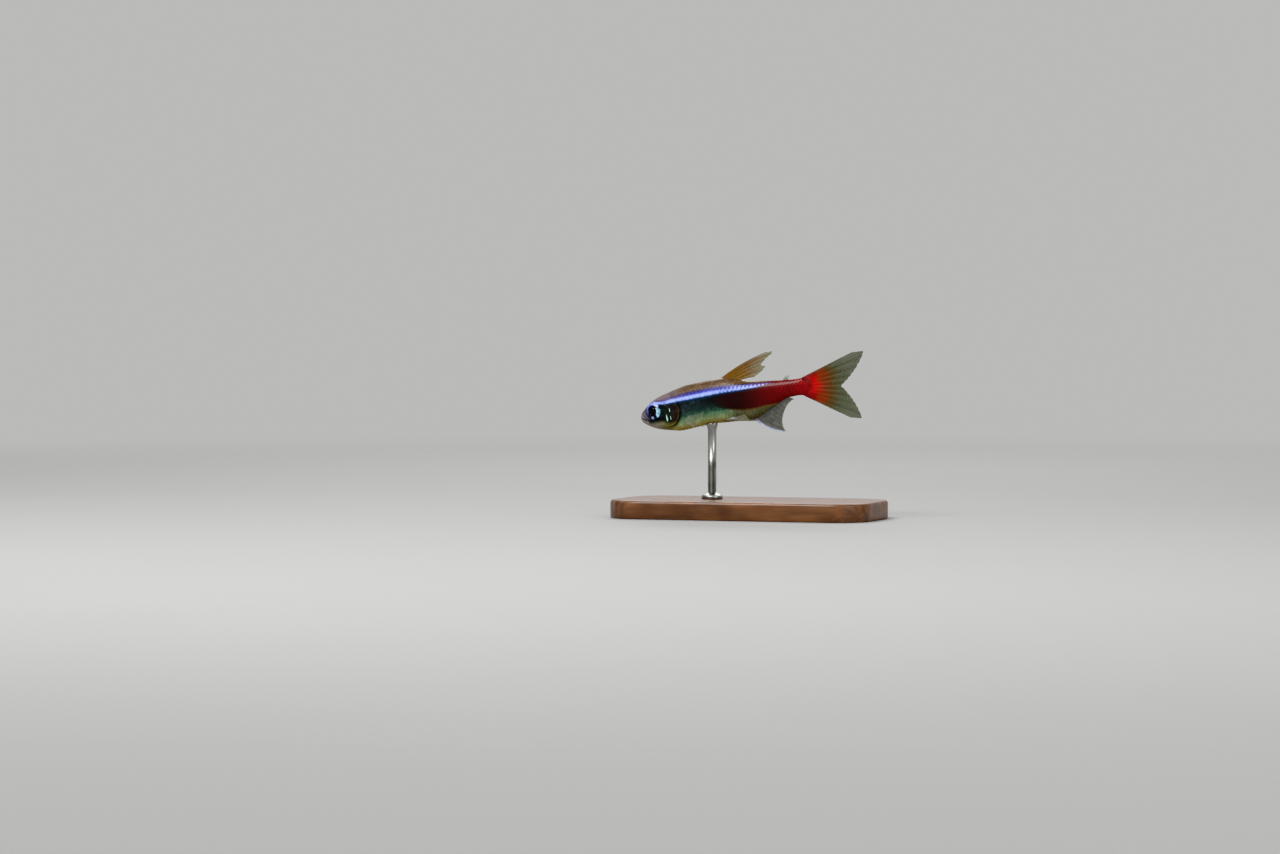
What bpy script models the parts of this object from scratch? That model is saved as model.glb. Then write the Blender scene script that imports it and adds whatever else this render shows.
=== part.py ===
"""Neon tetra, a still life-size model of the whole fish, held by a plain stand.

The shapes are drawn in millimetres in the fish's own frame: X runs from the snout to the tail, Y to the
fish's right, Z up. Each is then curved with the spine, pitched head down, lifted onto the stand and
written in metres. The row frame has its origin under the middle of the stand's base, +Z up.
"""

import math

import bmesh
import bpy
import numpy as np
from mathutils import Matrix

MM = 0.001
SEAM = 0.28  # gap that keeps neighbouring solids apart

# How the fish is held
PITCH_DEG = 10.0  # head down
SNOUT_AT = (-16.4, 0.0, 14.2)  # where the fish's own origin lies over the stand
SPINE_MIDDLE, SPINE_CURVE = 12.0, 0.004  # head and tail both swing to the right of this place

# Body stations: distance from the snout, height of the back and of the belly over the fish's axis,
# half width, height of the widest line, and how square the section is above and below that line
BODY_STATIONS = (
    (0.0, -0.30, -0.30, 0.0, -0.30, 2.2, 2.0),  # lips
    (0.12, 0.26, -0.82, 0.32, -0.30, 2.2, 2.0),
    (0.7, 0.80, -1.36, 0.70, -0.22, 2.3, 2.0),  # nostrils
    (1.5, 1.44, -1.86, 1.04, 0.00, 2.4, 2.0),
    (2.5, 1.98, -2.30, 1.32, 0.15, 2.4, 2.0),  # middle of the eye
    (4.0, 2.48, -2.70, 1.52, 0.30, 2.3, 2.0),
    (6.2, 2.93, -3.06, 1.66, 0.40, 2.1, 1.9),  # gill covers end
    (8.2, 3.26, -2.96, 1.74, 0.50, 2.0, 1.8),
    (10.3, 3.32, -2.84, 1.75, 0.55, 2.0, 1.75),  # sunken belly
    (13.2, 3.28, -3.04, 1.66, 0.55, 2.0, 1.75),  # dorsal fin starts
    (16.8, 2.26, -3.18, 1.32, 0.48, 2.0, 1.8),  # anal fin starts
    (19.6, 1.84, -2.14, 0.98, 0.40, 2.0, 2.0),
    (22.4, 1.47, -1.06, 0.70, 0.32, 2.0, 2.0),  # anal fin ends
    (23.8, 1.36, -1.02, 0.58, 0.26, 2.0, 2.0),  # thinnest part of the tail stem
    (24.9, 1.36, -1.18, 0.44, 0.18, 2.0, 2.0),
    (25.6, 1.30, -1.20, 0.30, 0.06, 2.0, 2.0),
)

# Head
GILL_CENTRE, GILL_RADIUS = (4.6, -0.2), 2.05  # arc of the gill cover's rear edge
NAPE_X = 5.2
CHEEK_CENTRE, CHEEK_RADIUS = (3.45, -0.35), 1.72  # arc of the groove between cheek and gill cover
COVER_RISE = 0.13
CHEEK_GROOVE, CHEEK_GROOVE_WIDTH = 0.12, 0.2
EYE_CENTRE, EYE_TURN_DEG = (2.5, 0.99, 0.27), 12.0  # the eyes look a little forward
EYE_RADIUS, EYE_DEPTH, EYE_GAP = 1.27, 0.62, 0.15
PUPIL_RADIUS, PUPIL_STEP = 0.55, 0.05
ORBIT_RISE, ORBIT_WIDTH = 0.08, 0.20
MOUTH_CORNER, MOUTH_FRONT = (1.15, -0.90), (-0.4, -0.03)
MOUTH_OPEN = 0.22  # at the front of the slit
LIP_RISE, LIP_WIDTH = 0.06, 0.16
NOSTRILS = ((0.88, 0.86), (1.12, 1.06))  # distance from the snout and height
NOSTRIL_RADIUS = 0.13

# The slanting cut between trunk and tail stem, just ahead of the anal fin
STEM_CUT_TOP, STEM_CUT_BOTTOM = (17.4, 4.2), (16.0, -4.2)

# Fins: thickness of the web at the root and at the tips, and height of a ray over the web
FIN_THICKNESS = (0.72, 0.28)
PAIRED_THICKNESS = (0.56, 0.26)
ADIPOSE_THICKNESS = (0.6, 0.36)
RAY_RISE = 0.07
WEB_NOTCH = 0.035  # how far the web between two rays falls short of their tips
SUNK = 0.9  # how far a root is drawn inside the body before it is cut off

DORSAL_RAYS, DORSAL_BASE = 11, (13.45, 16.0)
DORSAL_FRONT_COUNT = 7  # rays of the upper point; the others make the lower one
DORSAL_FIRST = (6.9, 20.6)  # length and slope of the ray that leads
DORSAL_UPPER = ((7.9, 18.7), (4.1, 17.2))  # length and slope of the next ray and of the last one
DORSAL_LOWER = ((4.6, 13.5), (1.85, 4.4))
DORSAL_BOW = 0.04

ANAL_RAYS, ANAL_BASE = 20, (17.2, 22.4)
ANAL_LONGEST, ANAL_SHORTEST = 4.95, 0.75
ANAL_FALL = 1.9
ANAL_SWEEP_DEG, ANAL_FAN_DEG = -32.5, -14.0
ANAL_BOW = 0.105

CAUDAL_RAYS, CAUDAL_FOCUS = 19, (22.9, 0.35)
CAUDAL_AXIS_DEG, CAUDAL_HALF_SPREAD_DEG = -8.5, 28.2
CAUDAL_ROOT_X, CAUDAL_ROOT_Z = 24.6, (-1.14, 1.28)
CAUDAL_FORK, UPPER_LOBE, LOWER_LOBE = 7.1, 11.3, 10.9  # from the focus
LOBE_TIP_AT, LOBE_POWER, OUTER_RAY_SHARE = 0.87, 1.15, 0.87

ADIPOSE_BASE, ADIPOSE_HEIGHT, ADIPOSE_LINES = (21.9, 22.55), 1.0, 6
ADIPOSE_LEAN_DEG, ADIPOSE_FAN_DEG = 60.0, 22.0

PECTORAL_RAYS, PECTORAL_ROOT = 11, (6.95, 1.15, -1.75)
PECTORAL_LONGEST, PECTORAL_SHORTEST, PECTORAL_BASE = 4.1, 2.2, 0.7
PECTORAL_FLARE_DEG, PECTORAL_DROP_DEG, PECTORAL_FAN_DEG = 27.0, 10.0, 30.0
PECTORAL_ROLL_DEG = 8.0

PELVIC_RAYS, PELVIC_ROOT = 8, (12.9, 0.52, -2.55)
PELVIC_LONGEST, PELVIC_SHORTEST, PELVIC_BASE = 4.5, 2.9, 0.55
PELVIC_FLARE_DEG, PELVIC_DROP_DEG, PELVIC_FAN_DEG = 14.0, 4.0, 18.0
PELVIC_ROLL_DEG = 50.0

# Stand
BASE_LENGTH, BASE_WIDTH, BASE_HEIGHT = 38.0, 18.0, 2.6
BASE_CORNER, BASE_CHAMFER = 5.0, 0.45
ROD_RADIUS, COLLAR_RADIUS, COLLAR_HEIGHT = 0.6, 1.5, 0.6
ROD_UNDER = 10.6  # distance from the snout of the belly that the rod holds
SPIGOT_DEPTH, SOCKET_DEPTH = 1.2, 1.5


def colour_of(name, rgb, roughness, metallic=0.0, alpha=1.0):
    """A plain finish for one part."""
    material = bpy.data.materials.new(name)
    material.use_nodes = True
    shader = material.node_tree.nodes["Principled BSDF"]
    shader.inputs["Base Color"].default_value = (*rgb, 1.0)
    shader.inputs["Roughness"].default_value = roughness
    shader.inputs["Metallic"].default_value = metallic
    shader.inputs["Alpha"].default_value = alpha
    return material


def smooth_through(stations, x):
    """Values at x on the monotone cubics through the stations' columns, whose first column is the place.

    The curves run against the square root of the distance, which rounds the snout.
    """
    table = np.array(stations, float)
    places, columns = np.sqrt(table[:, 0]), table[:, 1:]
    steps = np.diff(places)[:, None]
    slopes = np.diff(columns, axis=0) / steps
    tangents = np.zeros_like(columns)
    same_way = slopes[:-1] * slopes[1:] > 0
    weight = 2 * steps[1:] + steps[:-1], steps[1:] + 2 * steps[:-1]
    with np.errstate(divide="ignore", invalid="ignore"):
        mean = (weight[0] + weight[1]) / (weight[0] / slopes[:-1] + weight[1] / slopes[1:])
    tangents[1:-1] = np.where(same_way, mean, 0.0)
    tangents[0], tangents[-1] = slopes[0], slopes[-1]
    s = min(max(math.sqrt(max(x, 0.0)), places[0]), places[-1])
    k = min(int(np.searchsorted(places, s, side="right")) - 1, len(steps) - 1)
    h = float(steps[k, 0])
    t = (s - places[k]) / h
    return (
        (2 * t**3 - 3 * t**2 + 1) * columns[k]
        + (t**3 - 2 * t**2 + t) * h * tangents[k]
        + (3 * t**2 - 2 * t**3) * columns[k + 1]
        + (t**3 - t**2) * h * tangents[k + 1]
    )


def back_height(x):
    return smooth_through(BODY_STATIONS, x)[0]


def belly_height(x):
    return smooth_through(BODY_STATIONS, x)[1]


def body_ring(x, sides):
    """Points round the body's section at x, starting at the back, as rows of x, y, z."""
    back, belly, half_width, widest, square_above, square_below = smooth_through(BODY_STATIONS, x)
    angle = math.pi / 2 + 2 * math.pi * np.arange(sides) / sides
    across, up = np.cos(angle), np.sin(angle)
    power = np.where(up >= 0, 2 / square_above, 2 / square_below)
    height = np.where(up >= 0, back - widest, widest - belly)
    y = half_width * np.sign(across) * np.abs(across) ** power
    z = widest + height * np.sign(up) * np.abs(up) ** power
    return np.column_stack((np.full(sides, x), y, z))


def outward_normals(rings):
    """Unit normals of a grid of rings, pointing away from the body."""
    along = np.gradient(rings, axis=0)
    around = np.roll(rings, -1, axis=1) - np.roll(rings, 1, axis=1)
    normals = np.cross(around, along)
    return normals / np.maximum(np.linalg.norm(normals, axis=2, keepdims=True), 1e-9)


def smooth_step(value, low, high):
    t = np.clip((value - low) / (high - low), 0.0, 1.0)
    return t * t * (3 - 2 * t)


def ridge(distance, width):
    return np.exp(-((distance / width) ** 2))


def head_relief(points):
    """How far the head's surface stands out over the plain body: gill cover, orbit, lips and cheek groove."""
    x, y, z = points[..., 0], np.abs(points[..., 1]), points[..., 2]
    ahead_of_gill = GILL_RADIUS - np.hypot(x - GILL_CENTRE[0], z - GILL_CENTRE[1])
    behind_cheek = np.hypot(x - CHEEK_CENTRE[0], z - CHEEK_CENTRE[1]) - CHEEK_RADIUS
    side = smooth_step(y, 0.35, 0.9) * smooth_step(x, 2.2, 3.2)
    cover = COVER_RISE * smooth_step(ahead_of_gill, -0.5, 0.1) * smooth_step(behind_cheek, -1.6, 0.1)
    groove = CHEEK_GROOVE * ridge(behind_cheek, CHEEK_GROOVE_WIDTH) * smooth_step(ahead_of_gill, 0.0, 0.5)
    from_eye = np.hypot(x - EYE_CENTRE[0], z - EYE_CENTRE[2]) - EYE_RADIUS - EYE_GAP
    orbit = ORBIT_RISE * ridge(from_eye - 0.1, ORBIT_WIDTH) * smooth_step(y, 0.3, 0.8)
    slit = np.subtract(MOUTH_CORNER, MOUTH_FRONT)
    slit = slit / np.linalg.norm(slit)
    from_slit = (x - MOUTH_FRONT[0]) * slit[1] - (z - MOUTH_FRONT[1]) * slit[0]
    lips = LIP_RISE * ridge(np.abs(from_slit) - 0.14, LIP_WIDTH) * smooth_step(x, 1.5, 0.9)
    return side * (cover - groove) + orbit + lips


def solid(name, points, faces):
    """A mesh object of these points, in millimetres, and faces."""
    mesh = bpy.data.meshes.new(name)
    mesh.from_pydata([tuple(map(float, p)) for p in points], [], faces)
    mesh.update()
    made = bpy.data.objects.new(name, mesh)
    bpy.context.scene.collection.objects.link(made)
    return made


def loft(name, rings):
    """A closed solid through rings of equal length, with a fan to a middle point at each end."""
    rings = np.asarray(rings, float)
    count, sides = rings.shape[:2]
    points = np.vstack((rings.reshape(-1, 3), rings[0].mean(axis=0), rings[-1].mean(axis=0)))
    first_pole, last_pole = count * sides, count * sides + 1
    faces = []
    for k in range(sides):
        after = (k + 1) % sides
        for row in range(count - 1):
            a, b = row * sides, (row + 1) * sides
            faces.append((a + k, a + after, b + after, b + k))
        faces.append((first_pole, after, k))
        faces.append((last_pole, (count - 1) * sides + k, (count - 1) * sides + after))
    return face_out(solid(name, points, faces))


def face_out(obj):
    """Turns a closed mesh's faces outwards."""
    shape = bmesh.new()
    shape.from_mesh(obj.data)
    bmesh.ops.recalc_face_normals(shape, faces=shape.faces)
    if shape.calc_volume(signed=True) < 0:
        bmesh.ops.reverse_faces(shape, faces=shape.faces)
    shape.to_mesh(obj.data)
    shape.free()
    return obj


def lathe(name, profile, sides, middle, axis):
    """A closed solid turned round the Y or Z line through middle, from (radius, distance along) points."""
    angle = 2 * math.pi * np.arange(sides) / sides
    rings = []
    for radius, along in profile:
        ring = np.column_stack((radius * np.cos(angle), radius * np.sin(angle), np.full(sides, along)))
        rings.append((ring if axis == "Z" else ring[:, (0, 2, 1)]) + np.array(middle))
    return loft(name, rings)


def body_solid(name, rows, sides, offset=0.0, relief=None):
    """The stretch of the body through the rows' distances from the snout, grown by offset."""
    rings = np.array([body_ring(x, sides) for x in rows])
    normals = outward_normals(rings)
    stand_out = offset if relief is None else relief(rings)[..., None]
    return loft(name, rings + normals * stand_out)


def prism(name, outline, half_width=6.0):
    """A side-view outline of (x, z) points, extruded across the fish."""
    flat = np.array(outline, float)
    count = len(flat)
    sides = [np.column_stack((flat[:, 0], np.full(count, y), flat[:, 1])) for y in (-half_width, half_width)]
    faces = [tuple(range(count)), tuple(range(2 * count - 1, count - 1, -1))]
    faces += [(k, k + count, (k + 1) % count + count, (k + 1) % count) for k in range(count)]
    return face_out(solid(name, np.vstack(sides), faces))


def combine(obj, other, operation):
    """Applies one Boolean with another solid, which is then removed, and keeps the largest closed piece."""
    modifier = obj.modifiers.new("cut", "BOOLEAN")
    modifier.operation = operation
    modifier.solver = "EXACT"
    modifier.object = other
    graph = bpy.context.evaluated_depsgraph_get()
    result = bpy.data.meshes.new_from_object(obj.evaluated_get(graph))
    obj.modifiers.clear()
    obj.data = result
    bpy.data.objects.remove(other)
    return keep_largest(obj)


def keep_largest(obj):
    """Drops every loose scrap of the mesh but its largest closed surface."""
    shape = bmesh.new()
    shape.from_mesh(obj.data)
    left, islands = set(shape.verts), []
    while left:
        island, edge_of_search = set(), [left.pop()]
        while edge_of_search:
            vertex = edge_of_search.pop()
            island.add(vertex)
            near = {edge.other_vert(vertex) for edge in vertex.link_edges} & left
            left -= near
            edge_of_search.extend(near)
        islands.append(island)
    islands.sort(key=len)
    bmesh.ops.delete(shape, geom=[v for island in islands[:-1] for v in island], context="VERTS")
    shape.to_mesh(obj.data)
    shape.free()
    return obj


def gill_outline(grow):
    """Side view of the head: all that lies ahead of the gill opening, grown backwards."""
    radius = GILL_RADIUS + grow
    top = math.acos((NAPE_X + grow - GILL_CENTRE[0]) / radius)
    arc = [
        (GILL_CENTRE[0] + radius * math.cos(a), GILL_CENTRE[1] + radius * math.sin(a))
        for a in np.linspace(top, -math.pi / 2, 25)
    ]
    return [(-2.0, 5.0), (NAPE_X + grow, 5.0), *arc, (GILL_CENTRE[0] + grow, -5.0), (-2.0, -5.0)]


def stem_outline(shift):
    """Side view of all that lies behind the cut at the anal fin."""
    (top_x, top_z), (bottom_x, bottom_z) = STEM_CUT_TOP, STEM_CUT_BOTTOM
    return [(bottom_x + shift, bottom_z), (30.0, bottom_z), (30.0, top_z), (top_x + shift, top_z)]


def make_head():
    rows = np.linspace(0.16, math.sqrt(7.0), 39) ** 2
    head = body_solid("head", rows, 52, relief=head_relief)
    combine(head, prism("region", gill_outline(0.0)), "INTERSECT")
    for side in (-1, 1):
        combine(head, eye_shape("socket", side, eye_profile(EYE_GAP, False), 26), "DIFFERENCE")
        for x, z in NOSTRILS:
            place = nostril_place(x, z, side)
            combine(head, lathe("pit", ball_profile(NOSTRIL_RADIUS, 6), 10, place, "Z"), "DIFFERENCE")
    (front_x, front_z), half = MOUTH_FRONT, MOUTH_OPEN / 2
    wedge = prism("slit", [(front_x, front_z + half), (front_x, front_z - half), MOUTH_CORNER])
    return combine(head, wedge, "DIFFERENCE")


def nostril_place(x, z, side):
    """The point of the body's surface at this distance and height, on one side."""
    back, _, half_width, widest, square, _ = smooth_through(BODY_STATIONS, x)
    share = min(max((z - widest) / (back - widest), 0.0), 1.0)
    return x, side * half_width * (1 - share**square) ** (1 / square), z


def eye_profile(grow, with_pupil):
    """Radius and distance along Y of the eye's turned shape, both sides alike."""
    angles = np.linspace(-90, 90, 11)
    profile = [
        ((EYE_RADIUS + grow) * math.cos(math.radians(a)), (EYE_DEPTH + grow) * math.sin(math.radians(a)))
        for a in angles[1:-1]
    ]
    if with_pupil:
        rim = EYE_DEPTH * math.sqrt(1 - (PUPIL_RADIUS / EYE_RADIUS) ** 2)
        profile = [(r, y) for r, y in profile if y < rim - PUPIL_STEP]
        profile += [(PUPIL_RADIUS + PUPIL_STEP, rim - PUPIL_STEP), (PUPIL_RADIUS, rim), (0.25, EYE_DEPTH)]
    return profile


def ball_profile(radius, steps):
    angles = [math.pi * (k + 0.5) / steps - math.pi / 2 for k in range(steps)]
    return [(radius * math.cos(a), radius * math.sin(a)) for a in angles]


def eye_shape(name, side, profile, sides):
    """A turned shape at one eye's place, facing out and a little forward."""
    shape = lathe(name, [(r, side * y) for r, y in profile], sides, (0.0, 0.0, 0.0), "Y")
    middle = (EYE_CENTRE[0], side * EYE_CENTRE[1], EYE_CENTRE[2])
    turn = Matrix.Rotation(side * math.radians(EYE_TURN_DEG), 4, "Z")
    shape.data.transform(Matrix.Translation(middle) @ turn)
    return shape


def make_eye(side):
    return eye_shape("eye_left" if side < 0 else "eye_right", side, eye_profile(0.0, True), 22)


def make_trunk():
    trunk = body_solid("trunk", np.linspace(3.4, 18.6, 24), 36)
    combine(trunk, prism("ahead", gill_outline(SEAM)), "DIFFERENCE")
    return combine(trunk, prism("behind", stem_outline(-SEAM)), "DIFFERENCE")


def make_tail_stem():
    rows = [*np.linspace(15.2, 24.4, 13), 24.9, 25.2, 25.45]
    stem = body_solid("tail_stem", rows, 30)
    return combine(stem, prism("region", stem_outline(0.0)), "INTERSECT")


def grown_body():
    """The whole body grown by the seam: what fins and rod are cut off with."""
    rows = [*(np.linspace(0.3, math.sqrt(24.6), 60) ** 2), 25.0, 25.3, 25.5]
    return body_solid("grown", rows, 44, offset=SEAM)


class Ray:
    """One fin ray: a line from root to tip, bowed sideways in the fin's own plane."""

    def __init__(self, root, tip, bow=0.0):
        self.root, self.tip, self.bow = np.array(root, float), np.array(tip, float), bow

    def points(self, shares, normal):
        line = self.tip - self.root
        sag = np.cross(normal, line) * self.bow
        return np.array([self.root + line * s + sag * 4 * s * (1 - s) for s in shares])


def web_between(a, b, notch):
    """The line midway between two rays, shorter than they are by its notch."""
    tip = (a.tip + b.tip) / 2
    root = (a.root + b.root) / 2
    return Ray(root, root + (tip - root) * (1 - notch), (a.bow + b.bow) / 2)


def fin_solid(
    name, rays, normal=(0.0, 1.0, 0.0), rows=8, thickness=FIN_THICKNESS, rise=RAY_RISE, notch=WEB_NOTCH
):
    """A closed fin: rays as ridges on a web, thickest at the root, with both faces split alike."""
    normal = np.array(normal, float) / np.linalg.norm(normal)
    lines, is_ray = [rays[0]], [True]
    for before, after in zip(rays, rays[1:], strict=False):
        lines += [web_between(before, after, notch), after]
        is_ray += [False, True]
    shares = np.linspace(0.0, 1.0, rows)
    grid = np.array([line.points(shares, normal) for line in lines])
    half = (thickness[0] + (thickness[1] - thickness[0]) * shares) / 2
    stand_out = np.array([half + (rise if ray else 0.0) for ray in is_ray])
    stand_out[[0, -1]] *= 0.8
    offset = normal * stand_out[..., None]
    points = np.vstack(((grid + offset).reshape(-1, 3), (grid - offset).reshape(-1, 3)))
    columns, far = len(lines), len(lines) * rows
    faces = []
    for c in range(columns - 1):
        for r in range(rows - 1):
            a, b = c * rows + r, (c + 1) * rows + r
            for triangle in ((a, b, b + 1), (a, b + 1, a + 1)):
                faces.append(triangle)
                faces.append(tuple(p + far for p in reversed(triangle)))
    rim = [c * rows for c in range(columns)]
    rim += [(columns - 1) * rows + r for r in range(1, rows)]
    rim += [c * rows + rows - 1 for c in range(columns - 2, -1, -1)]
    rim += list(range(rows - 2, 0, -1))
    for here, after in zip(rim, rim[1:] + rim[:1], strict=True):
        faces += [(here, here + far, after + far), (here, after + far, after)]
    return face_out(solid(name, points, faces))


def in_plane(x, z, y=0.0):
    return np.array((x, y, z))


def heading(angle_deg):
    """A unit vector in the fish's side view, so many degrees above the line to the tail."""
    return in_plane(math.cos(math.radians(angle_deg)), math.sin(math.radians(angle_deg)))


def along(pairs, share):
    """Length and slope, so far between two such pairs."""
    (length, slope), (last_length, last_slope) = pairs
    return length + (last_length - length) * share, slope + (last_slope - slope) * share


def dorsal_rays():
    """Laid back rays: a short one that leads, a long upper point and a lower point behind it."""
    rays = []
    lower_steps = DORSAL_RAYS - 1 - DORSAL_FRONT_COUNT
    for k in range(DORSAL_RAYS):
        if k == 0:
            length, slope = DORSAL_FIRST
        elif k < DORSAL_FRONT_COUNT:
            length, slope = along(DORSAL_UPPER, (k - 1) / (DORSAL_FRONT_COUNT - 2))
        else:
            length, slope = along(DORSAL_LOWER, (k - DORSAL_FRONT_COUNT) / lower_steps)
        x = DORSAL_BASE[0] + k / (DORSAL_RAYS - 1) * (DORSAL_BASE[1] - DORSAL_BASE[0])
        surface = in_plane(x, back_height(x))
        way = heading(slope)
        rays.append(Ray(surface - way * SUNK * 1.6, surface + way * length, bow=-DORSAL_BOW))
    return rays


def anal_rays():
    """Swept back rays, the second one longest, falling away quickly to the short rear ones."""
    rays = []
    for k in range(ANAL_RAYS):
        share = k / (ANAL_RAYS - 1)
        x = ANAL_BASE[0] + share * (ANAL_BASE[1] - ANAL_BASE[0])
        length = ANAL_SHORTEST + (ANAL_LONGEST - ANAL_SHORTEST) * (1 - share) ** ANAL_FALL
        angle = ANAL_SWEEP_DEG + ANAL_FAN_DEG * math.sin(math.pi * share)
        surface = in_plane(x, belly_height(x))
        way = heading(angle)
        rays.append(Ray(surface - way * SUNK, surface + way * length, bow=ANAL_BOW * (1 - share) ** 2))
    return rays


def caudal_rays():
    """A forked fan that starts along the end of the tail stem; the rays next to each edge reach furthest."""
    rays = []
    focus = in_plane(*CAUDAL_FOCUS)
    low, high = CAUDAL_ROOT_Z
    for k in range(CAUDAL_RAYS):
        share = 1 - 2 * k / (CAUDAL_RAYS - 1)
        reach = UPPER_LOBE if share > 0 else LOWER_LOBE
        length = CAUDAL_FORK + (reach - CAUDAL_FORK) * min(abs(share) / LOBE_TIP_AT, 1.0) ** LOBE_POWER
        past_tip = max(abs(share) - LOBE_TIP_AT, 0.0) / (1 - LOBE_TIP_AT)
        length *= 1 - (1 - OUTER_RAY_SHARE) * past_tip
        root = in_plane(CAUDAL_ROOT_X, (low + high) / 2 + share * (high - low) / 2)
        tip = focus + heading(CAUDAL_AXIS_DEG + share * CAUDAL_HALF_SPREAD_DEG) * length
        rays.append(Ray(root, tip))
    return rays


def adipose_rays():
    """No real rays: a few lines that shape the small fleshy lobe."""
    rays = []
    for k in range(ADIPOSE_LINES):
        share = k / (ADIPOSE_LINES - 1)
        x = ADIPOSE_BASE[0] + (ADIPOSE_BASE[1] - ADIPOSE_BASE[0]) * share
        surface = in_plane(x, back_height(x))
        way = heading(ADIPOSE_LEAN_DEG - ADIPOSE_FAN_DEG * share)
        height = ADIPOSE_HEIGHT * (0.45 + 0.55 * math.sin(math.pi * share**0.7))
        rays.append(Ray(surface - way * SUNK * 0.6, surface + way * height))
    return rays


def paired_fin_rays(count, root, base, lengths, flare, drop, fan, roll, side):
    """Rays of a fin at the fish's side, and the direction across its web.

    The first ray leads. Flare turns the fin away from the body, drop turns it down, and roll leans
    its web out of the upright.
    """
    flare, drop, roll = math.radians(flare), math.radians(drop), math.radians(roll)
    middle = np.array((math.cos(flare) * math.cos(drop), side * math.sin(flare), -math.sin(drop)))
    down = np.array((0.0, side * math.sin(roll), -math.cos(roll)))
    normal = np.cross(middle, down)
    normal /= np.linalg.norm(normal)
    down = np.cross(normal, middle)
    rays = []
    for k in range(count):
        share = k / (count - 1)
        angle = math.radians(fan) * (share - 0.5)
        way = middle * math.cos(angle) + down * math.sin(angle)
        length = lengths[0] + (lengths[1] - lengths[0]) * share**1.2
        start = np.array((root[0], side * root[1], root[2])) + down * base * (share - 0.5)
        rays.append(Ray(start - way * SUNK, start + way * length, bow=0.02 * side))
    return rays, normal


def cut_to_body(fin):
    """Takes off what lies in the body or nearer to it than the seam."""
    return combine(fin, grown_body(), "DIFFERENCE")


def make_fins():
    fins = [
        fin_solid("dorsal_fin", dorsal_rays()),
        fin_solid("anal_fin", anal_rays(), rows=7),
        fin_solid("caudal_fin", caudal_rays(), rows=9),
        fin_solid("adipose_fin", adipose_rays(), rows=6, thickness=ADIPOSE_THICKNESS, rise=0.0, notch=0.0),
    ]
    for side, word in ((-1, "left"), (1, "right")):
        pectoral, across = paired_fin_rays(
            PECTORAL_RAYS, PECTORAL_ROOT, PECTORAL_BASE, (PECTORAL_LONGEST, PECTORAL_SHORTEST),
            PECTORAL_FLARE_DEG, PECTORAL_DROP_DEG, PECTORAL_FAN_DEG, PECTORAL_ROLL_DEG, side,
        )
        fins.append(fin_solid("pectoral_fin_" + word, pectoral, across, 7, PAIRED_THICKNESS))
        pelvic, across = paired_fin_rays(
            PELVIC_RAYS, PELVIC_ROOT, PELVIC_BASE, (PELVIC_SHORTEST, PELVIC_LONGEST),
            PELVIC_FLARE_DEG, PELVIC_DROP_DEG, PELVIC_FAN_DEG, PELVIC_ROLL_DEG, side,
        )
        fins.append(fin_solid("pelvic_fin_" + word, pelvic, across, 7, PAIRED_THICKNESS))
    return [cut_to_body(fin) for fin in fins]


def fish_to_world(points):
    """Curves the spine, pitches the fish and lifts it onto the stand. Millimetres in and out."""
    points = np.array(points, float)
    points[:, 1] += SPINE_CURVE * (points[:, 0] - SPINE_MIDDLE) ** 2
    pitch = Matrix.Rotation(-math.radians(PITCH_DEG), 3, "Y")
    return points @ np.array(pitch).T + np.array(SNOUT_AT)


def to_metres(obj, in_fish_frame):
    """Moves a finished mesh from the fish's frame, or the stand's, to the row frame in metres."""
    count = len(obj.data.vertices)
    points = np.empty(count * 3)
    obj.data.vertices.foreach_get("co", points)
    points = points.reshape(-1, 3)
    if in_fish_frame:
        points = fish_to_world(points)
    obj.data.vertices.foreach_set("co", (points * MM).ravel())
    obj.data.update()
    return obj


def rounded_rectangle(length, width, corner, z):
    """One ring of points at height z, anticlockwise from above."""
    ring = []
    for quarter in range(4):
        start = quarter * math.pi / 2
        sign_x, sign_y = math.copysign(1, math.cos(start + 0.1)), math.copysign(1, math.sin(start + 0.1))
        if quarter in (1, 3):
            sign_x, sign_y = (-1, 1) if quarter == 1 else (1, -1)
        for a in np.linspace(start, start + math.pi / 2, 9):
            x = sign_x * (length / 2 - corner) + corner * math.cos(a)
            y = sign_y * (width / 2 - corner) + corner * math.sin(a)
            ring.append((x, y, z))
    return ring


def rod_place():
    """Where the rod stands, in the row frame: under the belly that it holds."""
    x, _, z = fish_to_world([(ROD_UNDER, 0.0, belly_height(ROD_UNDER))])[0]
    return x, z


def make_base():
    inner = (BASE_LENGTH - 2 * BASE_CHAMFER, BASE_WIDTH - 2 * BASE_CHAMFER, BASE_CORNER - BASE_CHAMFER)
    base = loft(
        "stand_base",
        [
            rounded_rectangle(BASE_LENGTH, BASE_WIDTH, BASE_CORNER, 0.0),
            rounded_rectangle(BASE_LENGTH, BASE_WIDTH, BASE_CORNER, BASE_HEIGHT - BASE_CHAMFER),
            rounded_rectangle(*inner, BASE_HEIGHT),
        ],
    )
    x, _ = rod_place()
    profile = [(ROD_RADIUS + SEAM, BASE_HEIGHT - SOCKET_DEPTH), (ROD_RADIUS + SEAM, BASE_HEIGHT + 1.0)]
    return combine(base, lathe("hole", profile, 24, (x, 0.0, 0.0), "Z"), "DIFFERENCE")


def make_rod():
    x, belly = rod_place()
    collar = BASE_HEIGHT + SEAM
    profile = [
        (ROD_RADIUS, BASE_HEIGHT - SPIGOT_DEPTH),
        (ROD_RADIUS, collar),
        (COLLAR_RADIUS, collar),
        (COLLAR_RADIUS, collar + COLLAR_HEIGHT * 0.7),
        (COLLAR_RADIUS * 0.8, collar + COLLAR_HEIGHT),
        (ROD_RADIUS, collar + COLLAR_HEIGHT),
        (ROD_RADIUS, belly + 1.0),
    ]
    rod = lathe("stand_rod", profile, 24, (x, 0.0, 0.0), "Z")
    to_metres(rod, False)
    return combine(rod, to_metres(grown_body(), True), "DIFFERENCE")


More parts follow.
